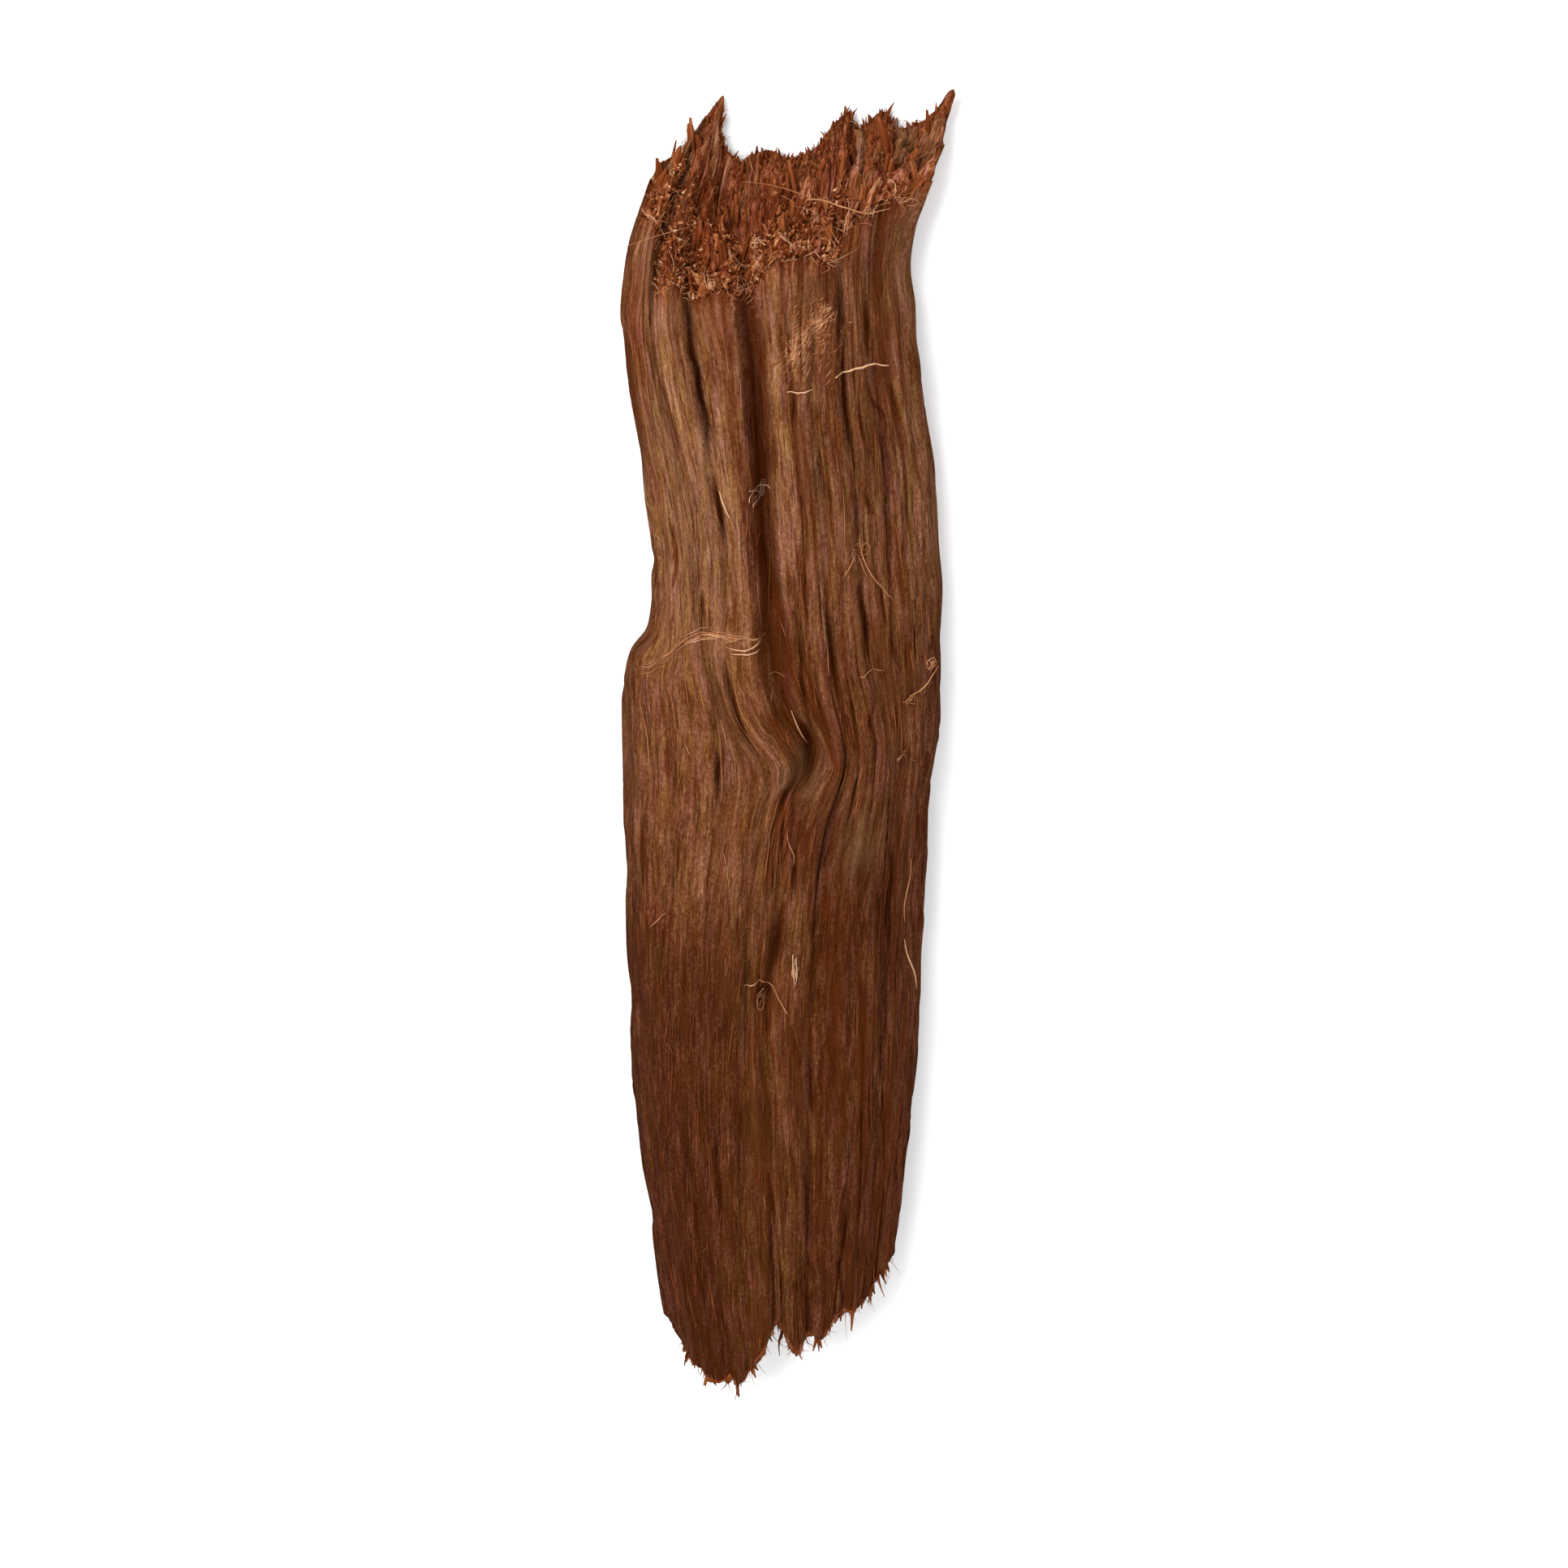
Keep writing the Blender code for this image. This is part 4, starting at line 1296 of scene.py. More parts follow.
def coarse_faces(sheet: Array) -> list:
    """Faces twice as large as a grid's cells, where those at its border take in the fine points
    between their corners, so that they close against fine sheets.

    Args:
        sheet: a grid of point numbers, with -1 where a point is left out.

    Returns:
        The point numbers of each face.
    """
    c = sheet[::2, ::2]
    around = [
        c[:-1, :-1], sheet[1::2, ::2][:, :-1], c[1:, :-1], sheet[::2, 1::2][1:],
        c[1:, 1:], sheet[1::2, ::2][:, 1:], c[:-1, 1:], sheet[::2, 1::2][:-1],
    ]
    cells = np.stack(around, axis=-1).reshape(-1, 8)
    left_out = (cells < 0).sum(axis=1)
    plain = cells[left_out == 4]
    return plain[plain >= 0].reshape(-1, 4).tolist() + [
        cell[cell >= 0].tolist() for cell in cells[left_out < 4]
    ]


class Zone(Enum):
    """What marks change: each zone is one of the bark finish's attributes."""

    TONE = "tone"
    PLUM = "plum"
    PALE = "pale"
    TORN = "torn"
    OLIVE = "olive"

    @property
    def lowest(self) -> float:
        """The attribute's lowest value: pale may darken too."""
        return -1.0 if self is Zone.PALE else 0.0


class By(Enum):
    """What the place of a mark is measured by: millimetres across and along, the distance right
    of the main furrow or off the pale band's line, or the block's own parameters."""

    ACROSS = auto()
    ALONG = auto()
    RIGHT_OF = auto()
    BAND = auto()
    SHARE = auto()
    DEEP = auto()
    RISE = auto()


Measures = dict[By, Array]
Places = tuple[tuple[By, float, float], ...]


@dataclass(frozen=True)
class Mark:
    """A change of colour: its amount times a soft spot in each measure of spots, given as middle
    and half size, and an eased step in each measure of steps, given as where it starts and ends."""

    amount: float
    spots: Places = ()
    steps: Places = ()

    def value(self, measures: Measures) -> Array:
        """The change at each point.

        Args:
            measures: each measure's values at the points.

        Returns:
            The value to add.
        """
        value = self.amount * np.ones_like(measures[By.ACROSS])
        for by, middle, half in self.spots:
            value *= spot(measures[by], middle, half)
        for by, start, end in self.steps:
            value *= smooth_step(start, end, measures[by])
        return value


MARKS = {
    Zone.TONE: (
        Mark(0.66, (), ((By.RIGHT_OF, -1, 5),)),
        Mark(-0.48, (), ((By.ALONG, 84, 104), (By.RIGHT_OF, 0, 1.5))),
        Mark(0.16, (), ((By.ALONG, 84, 104), (By.RIGHT_OF, 4, 8))),
        Mark(0.22, (), ((By.ALONG, 94, 84), (By.RIGHT_OF, 2, -8))),
        # Browner towards the foot on the left: partly the bark's own tone, partly painted shade.
        Mark(0.62, (), ((By.ALONG, 68, 46), (By.RIGHT_OF, 2, -8))),
        Mark(0.20, (), ((By.SHARE, 0.08, 0.01),)),
        Mark(0.10, (), ((By.SHARE, 0.94, 0.99),)),
    ),
    Zone.PLUM: (
        Mark(0.55, ((By.SHARE, 0.425, 0.035),), ((By.ALONG, 82, 96),)),
        Mark(0.60, ((By.SHARE, 0.47, 0.025),), ((By.ALONG, 78, 88),)),
        Mark(0.70, ((By.ACROSS, 1.2, 1.9), (By.ALONG, 71.5, 5.5))),
        Mark(0.40, ((By.SHARE, 0.88, 0.028),), ((By.ALONG, 92, 108),)),
        Mark(0.45, ((By.ACROSS, 0.7, 0.8), (By.ALONG, 92, 7))),
        Mark(0.25, (), ((By.SHARE, 0.80, 0.97), (By.ALONG, 70, 40))),
    ),
    Zone.PALE: (
        Mark(0.66, ((By.SHARE, 0.20, 0.12),), ((By.ALONG, 86, 108),)),
        Mark(0.24, ((By.SHARE, 0.36, 0.04),), ((By.ALONG, 86, 108),)),
        Mark(0.62, ((By.ACROSS, 2.4, 3), (By.ALONG, 125.6, 3.6))),
        Mark(0.75, ((By.BAND, 0, 0.7), (By.ALONG, 126, 2.6), (By.ACROSS, 2.8, 2.6))),
        Mark(-0.55, ((By.ACROSS, 2.4, 1.3), (By.ALONG, 121.9, 1.3))),
        Mark(0.30, ((By.SHARE, 0.55, 0.07),), ((By.ALONG, 84, 104),)),
        Mark(0.36, (), ((By.ALONG, 84, 104), (By.SHARE, 0.90, 0.97))),
        Mark(-0.45, ((By.ACROSS, 8.5, 2.6), (By.ALONG, 117, 7))),
        Mark(0.22, ((By.ACROSS, -9, 5), (By.ALONG, 76, 12))),
        Mark(0.45, ((By.ACROSS, -16.5, 0.8), (By.ALONG, 74, 12))),
        Mark(0.45, ((By.ACROSS, -7.9, 0.7), (By.ALONG, 77.5, 3.2))),
        Mark(0.55, ((By.ACROSS, 14.9, 0.6), (By.ALONG, 60, 9))),
        Mark(0.50, ((By.ACROSS, -4.9, 0.35), (By.ALONG, 57.5, 3.5))),
        Mark(-0.54, (), ((By.ALONG, 94, 84), (By.RIGHT_OF, 4, -4))),
        # Darker towards the foot on both sides of the furrow: partly the bark's own tone, partly
        # painted shade.
        Mark(-0.84, (), ((By.ALONG, 66, 46), (By.RIGHT_OF, 4, -4))),
        Mark(-0.62, (), ((By.ALONG, 80, 60), (By.RIGHT_OF, -1, 4))),
        Mark(-0.30, (), ((By.ALONG, 78, 90), (By.ALONG, 104, 84), (By.RIGHT_OF, 2, 5))),
    ),
    Zone.TORN: (
        Mark(0.90, ((By.ACROSS, -15.4, 1.3), (By.ALONG, 125, 6))),
        Mark(0.55, ((By.ACROSS, -14.6, 1.6), (By.ALONG, 59.5, 1.8))),
    ),
    Zone.OLIVE: (
        Mark(1.00, ((By.ACROSS, 1.8, 1.6), (By.ALONG, 77.4, 2.6)), ((By.DEEP, 0.5, 0),)),
        Mark(0.50, ((By.ACROSS, 8.5, 2.4), (By.ALONG, 69.5, 3.6)), ((By.DEEP, 0.5, 0),)),
    ),
}
TORN_PLACES = (
    Mark(1.00, (), ((By.RISE, 0.955, 0.995), (By.DEEP, 0, 0.12))),
    Mark(0.70, (), ((By.RISE, 0.97, 1),)),
    Mark(0.40, (), ((By.RISE, 0.02, 0), (By.DEEP, 0, 0.1))),
    Mark(0.28, (), ((By.DEEP, 0.6, 1),)),
)


@dataclass
class BarkSlab:
    """The whole slab as one closed surface: a block of quads, with the inner face half as fine."""

    name: str = "bark_slab"
    columns: int = 192
    layers: int = 20
    rows: int = 316
    even_part: float = 0.45
    width: float = 34.0
    depth: float = 12.0
    fall: float = 6.0
    plain_tone: float = 0.16
    band_start: Span = (0.9, 123.7)
    band_off: Span = (0.80, 0.66)
    # A small hollow whose shade is painted dark into the colour.
    pit_shade: Dimple = Dimple(50.6, -2.3, 1.7, 1.3, 1.3)
    # From which crack depth the painted shade starts, and how strong it grows at most.
    cavity_shade_depths: Span = (1.2, 5.5)
    cavity_shade_most: float = 0.6
    inner_lift: float = 0.3
    inner_part: float = 0.5
    foot_part: float = 0.8
    finish: BarkFinish = field(default_factory=BarkFinish)

    def colour_zones(self, measures: Measures) -> dict[str, Array]:
        """Where the bark is which colour: brown right of the furrow, pale on the upper left strands
        and on the scratched patch, purple-brown in the furrow and in the trough below it,
        orange-red at the ends, and darker towards the foot, partly its own tone and partly painted
        shade.
        Each attribute is the sum of its marks, clipped.

        Args:
            measures: across, along, share, deep and rise at each point.

        Returns:
            The attributes' values.
        """
        across, along = measures[By.ACROSS], measures[By.ALONG]
        (left, low), (aside, up) = self.band_start, self.band_off
        band = (across - left) * aside - (along - low) * up
        right_of = across - through(FORM.grain.main_furrow, along)
        measures = {**measures, By.BAND: band, By.RIGHT_OF: right_of}
        zones = {zone: sum(mark.value(measures) for mark in marks) for zone, marks in MARKS.items()}
        zones[Zone.TONE] += self.plain_tone
        zones[Zone.TORN] += np.max([mark.value(measures) for mark in TORN_PLACES], axis=0)
        return {zone.value: np.clip(added, zone.lowest, 1) for zone, added in zones.items()}

    def surface(self, share: Array, deep: Array, rise: Array) -> tuple[Array, ...]:
        """The finished surface: the form's block with the fine relief on each of its faces.

        Args:
            share: across, 0 to 1.
            deep: from the outer face to the inner, 0 to 1.
            rise: from the foot to the torn top, 0 to 1.

        Returns:
            The points, the places across and along before the edges' shift, and the grooves.
        """
        side = 2 * share - 1
        ends = smooth_step(0.965, 1.0, rise) - self.foot_part * smooth_step(0.03, 0.0, rise)
        along = FORM.along_of(share, deep, rise) + RELIEF.tear(share, deep) * ends
        across = FORM.grain.across_of(share, along)
        outer, groove = fine_outer(share, across, along)
        inner = FORM.inner_height(share, along)
        lift = self.inner_part * np.clip(inner / self.inner_lift, 0, 1)
        inner = inner + lift * (RELIEF.outer(share, along)[0] + 0.1)
        height = outer + (np.clip(inner, 0, None) - outer) * deep
        moved = across + FORM.edge_shift(side, along, height) + RELIEF.walls(side, along, height)
        return np.column_stack([moved, along, height]), across, along, groove

    def build(self) -> bpy.types.Object:
        """Builds and dresses the slab. Its grain is unrolled over the rounded edges, so that the
        pattern isn't drawn out there.

        Returns:
            The piece.
        """
        i, j, k = np.indices((self.columns + 1, self.layers + 1, self.rows + 1))
        on = (i % self.columns == 0) | (k % self.rows == 0) | (j == 0)
        on |= (j == self.layers) & (i % 2 == 0) & (k % 2 == 0)
        index, (i, j, k) = numbered(on), (axis[on] for axis in (i, j, k))
        even, deep, rise = i / self.columns, j / self.layers, k / self.rows
        closer = (1 - np.cos(np.pi * even)) / 2
        share = self.even_part * even + (1 - self.even_part) * closer
        points, across, along, groove = self.surface(share, deep, rise)
        sheets = [index[:, :, 0], index[:, :, -1], index[:, 0], index[0], index[-1]]
        faces = fine_faces(sheets) + coarse_faces(index[:, -1])
        piece = new_piece(self.name, points, faces, self.finish.make())
        fallen = self.fall * (1 - FORM.crown(share))
        unrolled = share * self.width + np.sign(2 * share - 1) * fallen
        add_attribute(piece, "grain", np.column_stack([unrolled, along, deep * self.depth]))
        measures = {
            By.ACROSS: across, By.ALONG: along, By.SHARE: share, By.DEEP: deep, By.RISE: rise,
        }
        for name, values in self.colour_zones(measures).items():
            add_attribute(piece, name, values)
        # Painted shade: the grooves, slits and pit darken the colour.
        add_attribute(piece, "groove", np.maximum(groove, self.pit_shade.height(across, along)))
        # Painted shade deep in the furrows and cracks, by their depth, fading towards the inner
        # face.
        start, full = self.cavity_shade_depths
        cavity = np.clip((FORM.crack_depth(across, along) - start) / full, 0, self.cavity_shade_most)
        add_attribute(piece, "cavity", cavity * smooth_step(0.5, 0.0, deep))
        return piece


@dataclass
class TornBed:
    """The break at one end, as a closed skin over the slab's own end face: crumbs and holes near
    the outer rim. At the torn end there are upright ribs with slots behind them, and closer
    strips of fibre on the two tips that stand out furthest. Painted shade darkens the holes and
    slots, and painted light and shade lie on the crumbs and ribs."""

    name: str = "torn_bed"
    end: End = End.TOP
    columns: int = 320
    rows: int = 128
    thick: float = 1.1
    proud: float = 0.30
    out: tuple[float, float, float] = (0.0, 0.70, 0.71)
    width: float = 34.0
    length: float = 16.0
    rim: float = 0.1
    floor_gap: float = 0.15
    margin: Span = (0.012, 0.005)
    covered: Span = (0.976, 0.98)
    wander: Ripple = Ripple(41, 12, 5, amount=0.7)
    crumbs: Ripple = Ripple(42, 50, 24, size=128)
    grains: Ripple = Ripple(43, 104, 46, size=160)
    ribs: Ripple = Ripple(44, 34, 2.6)
    fine_ribs: Ripple = Ripple(45, 92, 7, size=128)
    holes: Ripple = Ripple(46, 26, 10)
    hole_open: Span = (0.10, 0.45)
    slots: Ripple = Ripple(47, 30, 2.4)
    slot_open: Span = (0.15, 0.50)
    slot_closed: float = 0.55
    behind: Ripple = Ripple(48, 9, 3, amount=0.25)
    behind_from: Span = (0.30, 0.58)
    crumb_round: float = 0.6
    rib_round: float = 0.7
    finish: BarkFinish = field(default_factory=lambda: BarkFinish("bark_torn"))

    def strips(self, share: Array) -> Array:
        """How much a place belongs to the two furthest tips, 0 to 1."""
        return (smooth_step(0.30, 0.20, share) + smooth_step(0.70, 0.82, share)) * self.end.value

    def relief(self, share: Array, deep: Array) -> tuple[Array, Array, Array]:
        """The relief: crumbs are noise^0.6 with finer noise on it, less round holes; ribs are
        |noise|^0.7 drawn out down the slope, less long slots.

        Args:
            share: across, 0 to 1.
            deep: from the outer rim to the inner edge, 0 to 1.

        Returns:
            The height in millimetres, how light each place is painted, lighter on the tops and
            darker between them as painted light and shade, and how deep in a hole it lies, which is
            painted as shade.
        """
        strips, wander = self.strips(share), self.wander.at(share, deep)
        crumb = self.crumbs.at(share, deep, wander)
        grain = self.grains.at(share, deep)
        rib = np.abs(self.ribs.at(share, deep, wander)) ** self.rib_round
        fine = np.abs(self.fine_ribs.at(share, deep, 2 * wander)) ** self.rib_round
        hole = smooth_step(*self.hole_open, self.holes.at(share, deep))
        slot = smooth_step(*self.slot_open, self.slots.at(share, deep, wander))
        rounded = np.sign(crumb) * np.abs(crumb) ** self.crumb_round
        back = smooth_step(*self.behind_from, deep + self.behind.at(share, deep))
        back = self.end.value * np.maximum(back, strips * smooth_step(0.15, 0.35, deep))
        slot = slot * (1 - self.slot_closed * strips)
        crumbs = 0.42 * rounded + 0.24 * grain - 1.2 * hole
        ribs = 0.90 * rib + 0.42 * fine + 0.12 * grain - 0.7 - 1.5 * slot
        # Painted light and shade: lighter on the tops of crumbs and ribs, darker between them.
        light = (1 - back) * (0.75 * rounded + 0.7 * grain) + back * (0.7 * rib + 0.9 * fine - 0.7)
        light += 0.30 * strips + 0.25 * spot(share, 0.52, 0.10) * spot(deep, 0.35, 0.2)
        return crumbs * (1 - back) + ribs * back, light, hole * (1 - back) + slot * back

    def dress(self, piece: bpy.types.Object, share: Array, deep: Array, relief: tuple) -> None:
        """Gives the skin its attributes. The tips and the foot are browner than the middle.

        Args:
            piece: the skin.
            share: across, 0 to 1.
            deep: from the outer rim to the inner edge, 0 to 1.
            relief: the lift, how light each place is, and how deep in a hole it lies.
        """
        lift, light, hole = relief
        foot = float(self.end is End.FOOT)
        brown = 0.75 * self.strips(share) * smooth_step(0.15, 0.45, deep)
        brown += 0.40 * smooth_step(0.55, 0.95, deep) + 0.60 * foot
        grain = np.column_stack([share * self.width, deep * self.length, lift])
        add_attribute(piece, "grain", grain)
        add_attribute(piece, "tone", 0.25 + 0.3 * smooth_step(0.4, 0.6, share))
        # The painted light and shade of the crumbs and ribs go into pale.
        add_attribute(piece, "pale", np.clip(light - 0.30 - 0.20 * foot, -1, 1))
        add_attribute(piece, "torn", np.clip(1 - brown, 0, 1))
        # Painted shade in the holes and slots.
        add_attribute(piece, "cavity", 0.85 * hole)

    def build(self) -> bpy.types.Object:
        """Builds and dresses the skin.

        Returns:
            The piece.
        """
        i, j, k = np.indices((self.columns + 1, self.rows + 1, 2))
        border = (i % self.columns == 0) | (j % self.rows == 0)
        on = (k == 0) | border | ((i % 2 == 0) & (j % 2 == 0))
        index = numbered(on)
        u, v = i[on] / self.columns, j[on] / self.rows
        share = self.margin[0] + self.covered[0] * u
        deep = self.margin[1] + self.covered[1] * v
        height, light, hole = self.relief(share, deep)
        shown = smooth_step(0.0, 0.10, np.sin(np.pi * u) * np.sin(np.pi * v))
        top = (self.proud + height) * shown - self.rim * (1 - shown)
        lift = np.where(k[on] == 0, top, -self.thick * shown - self.rim)
        ground = FORM.places(share, deep, np.full(len(share), self.end.value))
        points = ground + lift[:, None] * np.array(self.out)
        points[:, 2] = np.maximum(points[:, 2], self.floor_gap)
        faces = fine_faces([index[..., 0], index[0], index[-1], index[:, 0], index[:, -1]])
        faces += coarse_faces(index[..., 1])
        piece = new_piece(self.name, points, faces, self.finish.make())
        self.dress(piece, share, deep, (lift, light, hole))
        return piece


@dataclass
class Threads:
    """A batch of tapered threads as one mesh: rings round each path, wider across than deep. Each
    thread has one tone, or one at each knot of its path."""

    name: str
    paths: Array
    radii: Array
    tones: Array
    sides: int = 3
    widen: float = 1.0

    def build(self, material: bpy.types.Material) -> bpy.types.Object:
        """Builds the mesh. A ring's point is the path's point plus the radius times cos(turn)
        along the sideways direction and sin(turn) along the one square to it and the path.

        Args:
            material: its finish.

        Returns:
            The piece.
        """
        count, knots, _ = self.paths.shape
        ahead = np.gradient(self.paths, axis=1)
        ahead /= np.linalg.norm(ahead, axis=2, keepdims=True) + 1e-9
        sideways = np.cross(ahead, [0.03, 0.0, 1.0])
        sideways /= np.linalg.norm(sideways, axis=2, keepdims=True) + 1e-9
        square = np.cross(sideways, ahead)
        turn = 2 * np.pi * np.arange(self.sides) / self.sides
        radius = self.radii[:, :, None, None]
        rings = self.paths[:, :, None] + radius * (
            self.widen * np.cos(turn)[:, None] * sideways[:, :, None]
            + np.sin(turn)[:, None] * square[:, :, None]
        )
        index = np.arange(count * knots * self.sides).reshape(count, knots, self.sides)
        ahead_of = np.roll(index, -1, axis=2)
        quads = np.stack(
            [index[:, :-1], ahead_of[:, :-1], ahead_of[:, 1:], index[:, 1:]], axis=-1
        ).reshape(-1, 4)
        faces = quads.tolist() + index[:, 0].tolist() + index[:, -1].tolist()
        piece = new_piece(self.name, rings.reshape(-1, 3), faces, material)
        tones = np.broadcast_to(self.tones.reshape(count, -1), (count, knots))
        add_attribute(piece, "tone", np.repeat(tones, self.sides))
        return piece


@dataclass
class EndSplinters:
    """The solid's splinters at both ends, with the same roots, leans and lengths. Each is a bunch
    of thin blades inside the solid one's outline: they start side by side and draw together."""

    name: str = "end_splinters"
    at_top: int = 38
    at_foot: int = 9
    length: Span = (4.0, 7.0)
    radius: Span = (0.40, 0.62)
    widening: float = 1.7
    foot_length: float = 0.6
    deep: Span = (0.10, 0.80)
    at_rim: float = 0.42
    jitter: float = 0.015
    share: Span = (0.05, 0.95)
    next_deep: float = 0.618
    lean_side: float = 0.25
    lean_up: float = 0.35
    sunk: float = 0.28
    blades: int = 7
    knots: int = 7
    bend: float = 0.20
    bunched: float = 0.75
    blade_length: Span = (0.25, 0.90)
    blade_radius: Span = (0.20, 0.44)
    blade_uneven: Span = (0.8, 1.15)
    taper: float = 0.62
    tone: Span = (0.02, 0.34)
    lighter: float = 0.14
    drawn_in: float = 0.7

    def draws(self) -> Array:
        """Repeats the solid's random draws, in the same order.

        Returns:
            One row for each splinter: share, deep, rise, the lean's three parts, length, radius.
        """
        draw = np.random.default_rng(SEED)
        rows = []
        for n in range(self.at_top + self.at_foot):
            top = n < self.at_top
            step = (n + 0.5) / self.at_top if top else (n - self.at_top + 0.5) / self.at_foot
            share = np.clip(step + draw.uniform(-self.jitter, self.jitter), *self.share)
            inward = (n * self.next_deep) % 1
            deep = self.deep[0] + (self.deep[1] - self.deep[0]) * inward
            sideways, ahead = draw.uniform(-self.lean_side, self.lean_side), 1 if top else -1
            lean = (sideways, ahead, draw.uniform(0.0, self.lean_up))
            shorter = self.at_rim + (1 - self.at_rim) * inward if top else self.foot_length
            length = draw.uniform(*self.length) * shorter
            rows.append((share, deep, float(top), *lean, length, draw.uniform(*self.radius)))
        return np.array(rows)

    def build(self, material: bpy.types.Material) -> bpy.types.Object:
        """Builds the bunches.

        Args:
            material: their finish.

        Returns:
            The piece.
        """
        rows = np.repeat(self.draws(), self.blades, axis=0)
        share, deep, rise, *lean, length, radius = rows.T
        draw = np.random.default_rng(SPLINTER_SEED)
        n, t = len(rows), np.linspace(0, 1, self.knots)
        lean = np.column_stack(lean)
        lean /= np.linalg.norm(lean, axis=1, keepdims=True)
        turn, out = draw.uniform(0, 2 * np.pi, n), self.bunched * draw.uniform(0, 1, n) ** 0.5
        offset = np.zeros((n, 3))
        offset[:, 0] = out * radius * self.widening * np.cos(turn)
        offset[:, 2] = out * radius * np.sin(turn)
        own = length * draw.uniform(*self.blade_length, n)
        reach = own[:, None] * t - self.sunk * length[:, None]
        paths = FORM.places(share, deep, rise)[:, None] + reach[..., None] * lean[:, None]
        drawn = (1 - self.drawn_in * (own / length)[:, None] * t**1.2)[..., None]
        sway = draw.normal(0, self.bend, (n, 1, 3)) * (t**2)[:, None]
        thick = radius[:, None] * draw.uniform(*self.blade_radius, (n, 1))
        thick = thick * (1 - self.taper * t**3)
        tones = draw.uniform(*self.tone, (n, 1)) + self.lighter * t
        uneven = draw.uniform(*self.blade_uneven, (n, self.knots))
        paths = paths + offset[:, None] * drawn + sway
        return Threads(self.name, paths, thick * uneven, tones, 4, 1.9).build(material)


@dataclass
class TornFibres:
    """Fibres that stand out of a broken end: blades, threads and curls."""

    name: str
    count: int
    end: End
    length: Span
    radius: Span
    tone: Span
    spread: float
    curl: float
    widen: float = 1.0
    sides: int = 3
    knots: int = 6
    seed: int = 0
    deep: Span = (0.03, 0.97)
    lighter: float = 0.25
    sunk: float = 0.9
    bright: float = 0.0
    bright_tone: float = 0.82
    share: Span = (0.04, 0.97)
    shorter: Span = (0.55, 1.0)
    uneven: Span = (0.8, 1.15)
    taper: float = 0.8
    upwards: float = 0.08
    furthest: float = 149.1
    lowest: float = 0.25

    def build(self, material: bpy.types.Material) -> bpy.types.Object:
        """Builds the batch. Each fibre starts sunk in the broken end, and leaves it along the
        grain with a random lean, plus a curl that grows with the square of the way along it. Its
        tone grows lighter towards its tip.

        Args:
            material: their finish.

        Returns:
            The piece.
        """
        draw, n = np.random.default_rng(FIBRE_SEED + self.seed), self.count
        share = draw.uniform(*self.share, n)
        deep = draw.uniform(*self.deep, n)
        root = FORM.places(share, deep, np.full(n, self.end.value))
        root[:, 1] -= self.sunk * self.end.heading
        lean = draw.normal(0, self.spread, (n, 3)) + [0.0, self.end.heading, self.upwards]
        lean /= np.linalg.norm(lean, axis=1, keepdims=True)
        length = draw.uniform(*self.length, n) * draw.uniform(*self.shorter, n)
        t = np.linspace(0, 1, self.knots)[None, :, None]
        side = draw.normal(0, self.curl, (n, 1, 3))
        turn = draw.normal(0, self.curl, (n, 1, 3))
        paths = root[:, None] + length[:, None, None] * (
            t * lean[:, None] + side * t**2 + 0.5 * turn * np.sin(3.1 * t) * t
        )
        paths[..., 1] = np.minimum(paths[..., 1], self.furthest)
        paths[..., 2] = np.maximum(paths[..., 2], self.lowest)
        radius = draw.uniform(*self.radius, n)[:, None]
        uneven = draw.uniform(*self.uneven, (n, self.knots))
        thick = radius * ((1 - self.taper * t[..., 0] ** 1.5) * uneven)
        tones = draw.uniform(*self.tone, (n, 1)) + self.lighter * (t[..., 0] - 0.4)
        tones = np.where(draw.random((n, 1)) < self.bright, self.bright_tone, tones)
        return Threads(self.name, paths, thick, tones, self.sides, self.widen).build(material)


@dataclass(frozen=True)
class Whisker:
    """A single whisker from one place to another, as (across, along), with its lift, radius and
    tone."""

    start: Span
    end: Span
    lift: float
    radius: float
    tone: float


@dataclass(frozen=True)
class Tangle:
    """A small tangle of threads: its middle, size and tone."""

    across: float
    along: float
    size: float
    tone: float


Batch = tuple[Array, Array, Array]


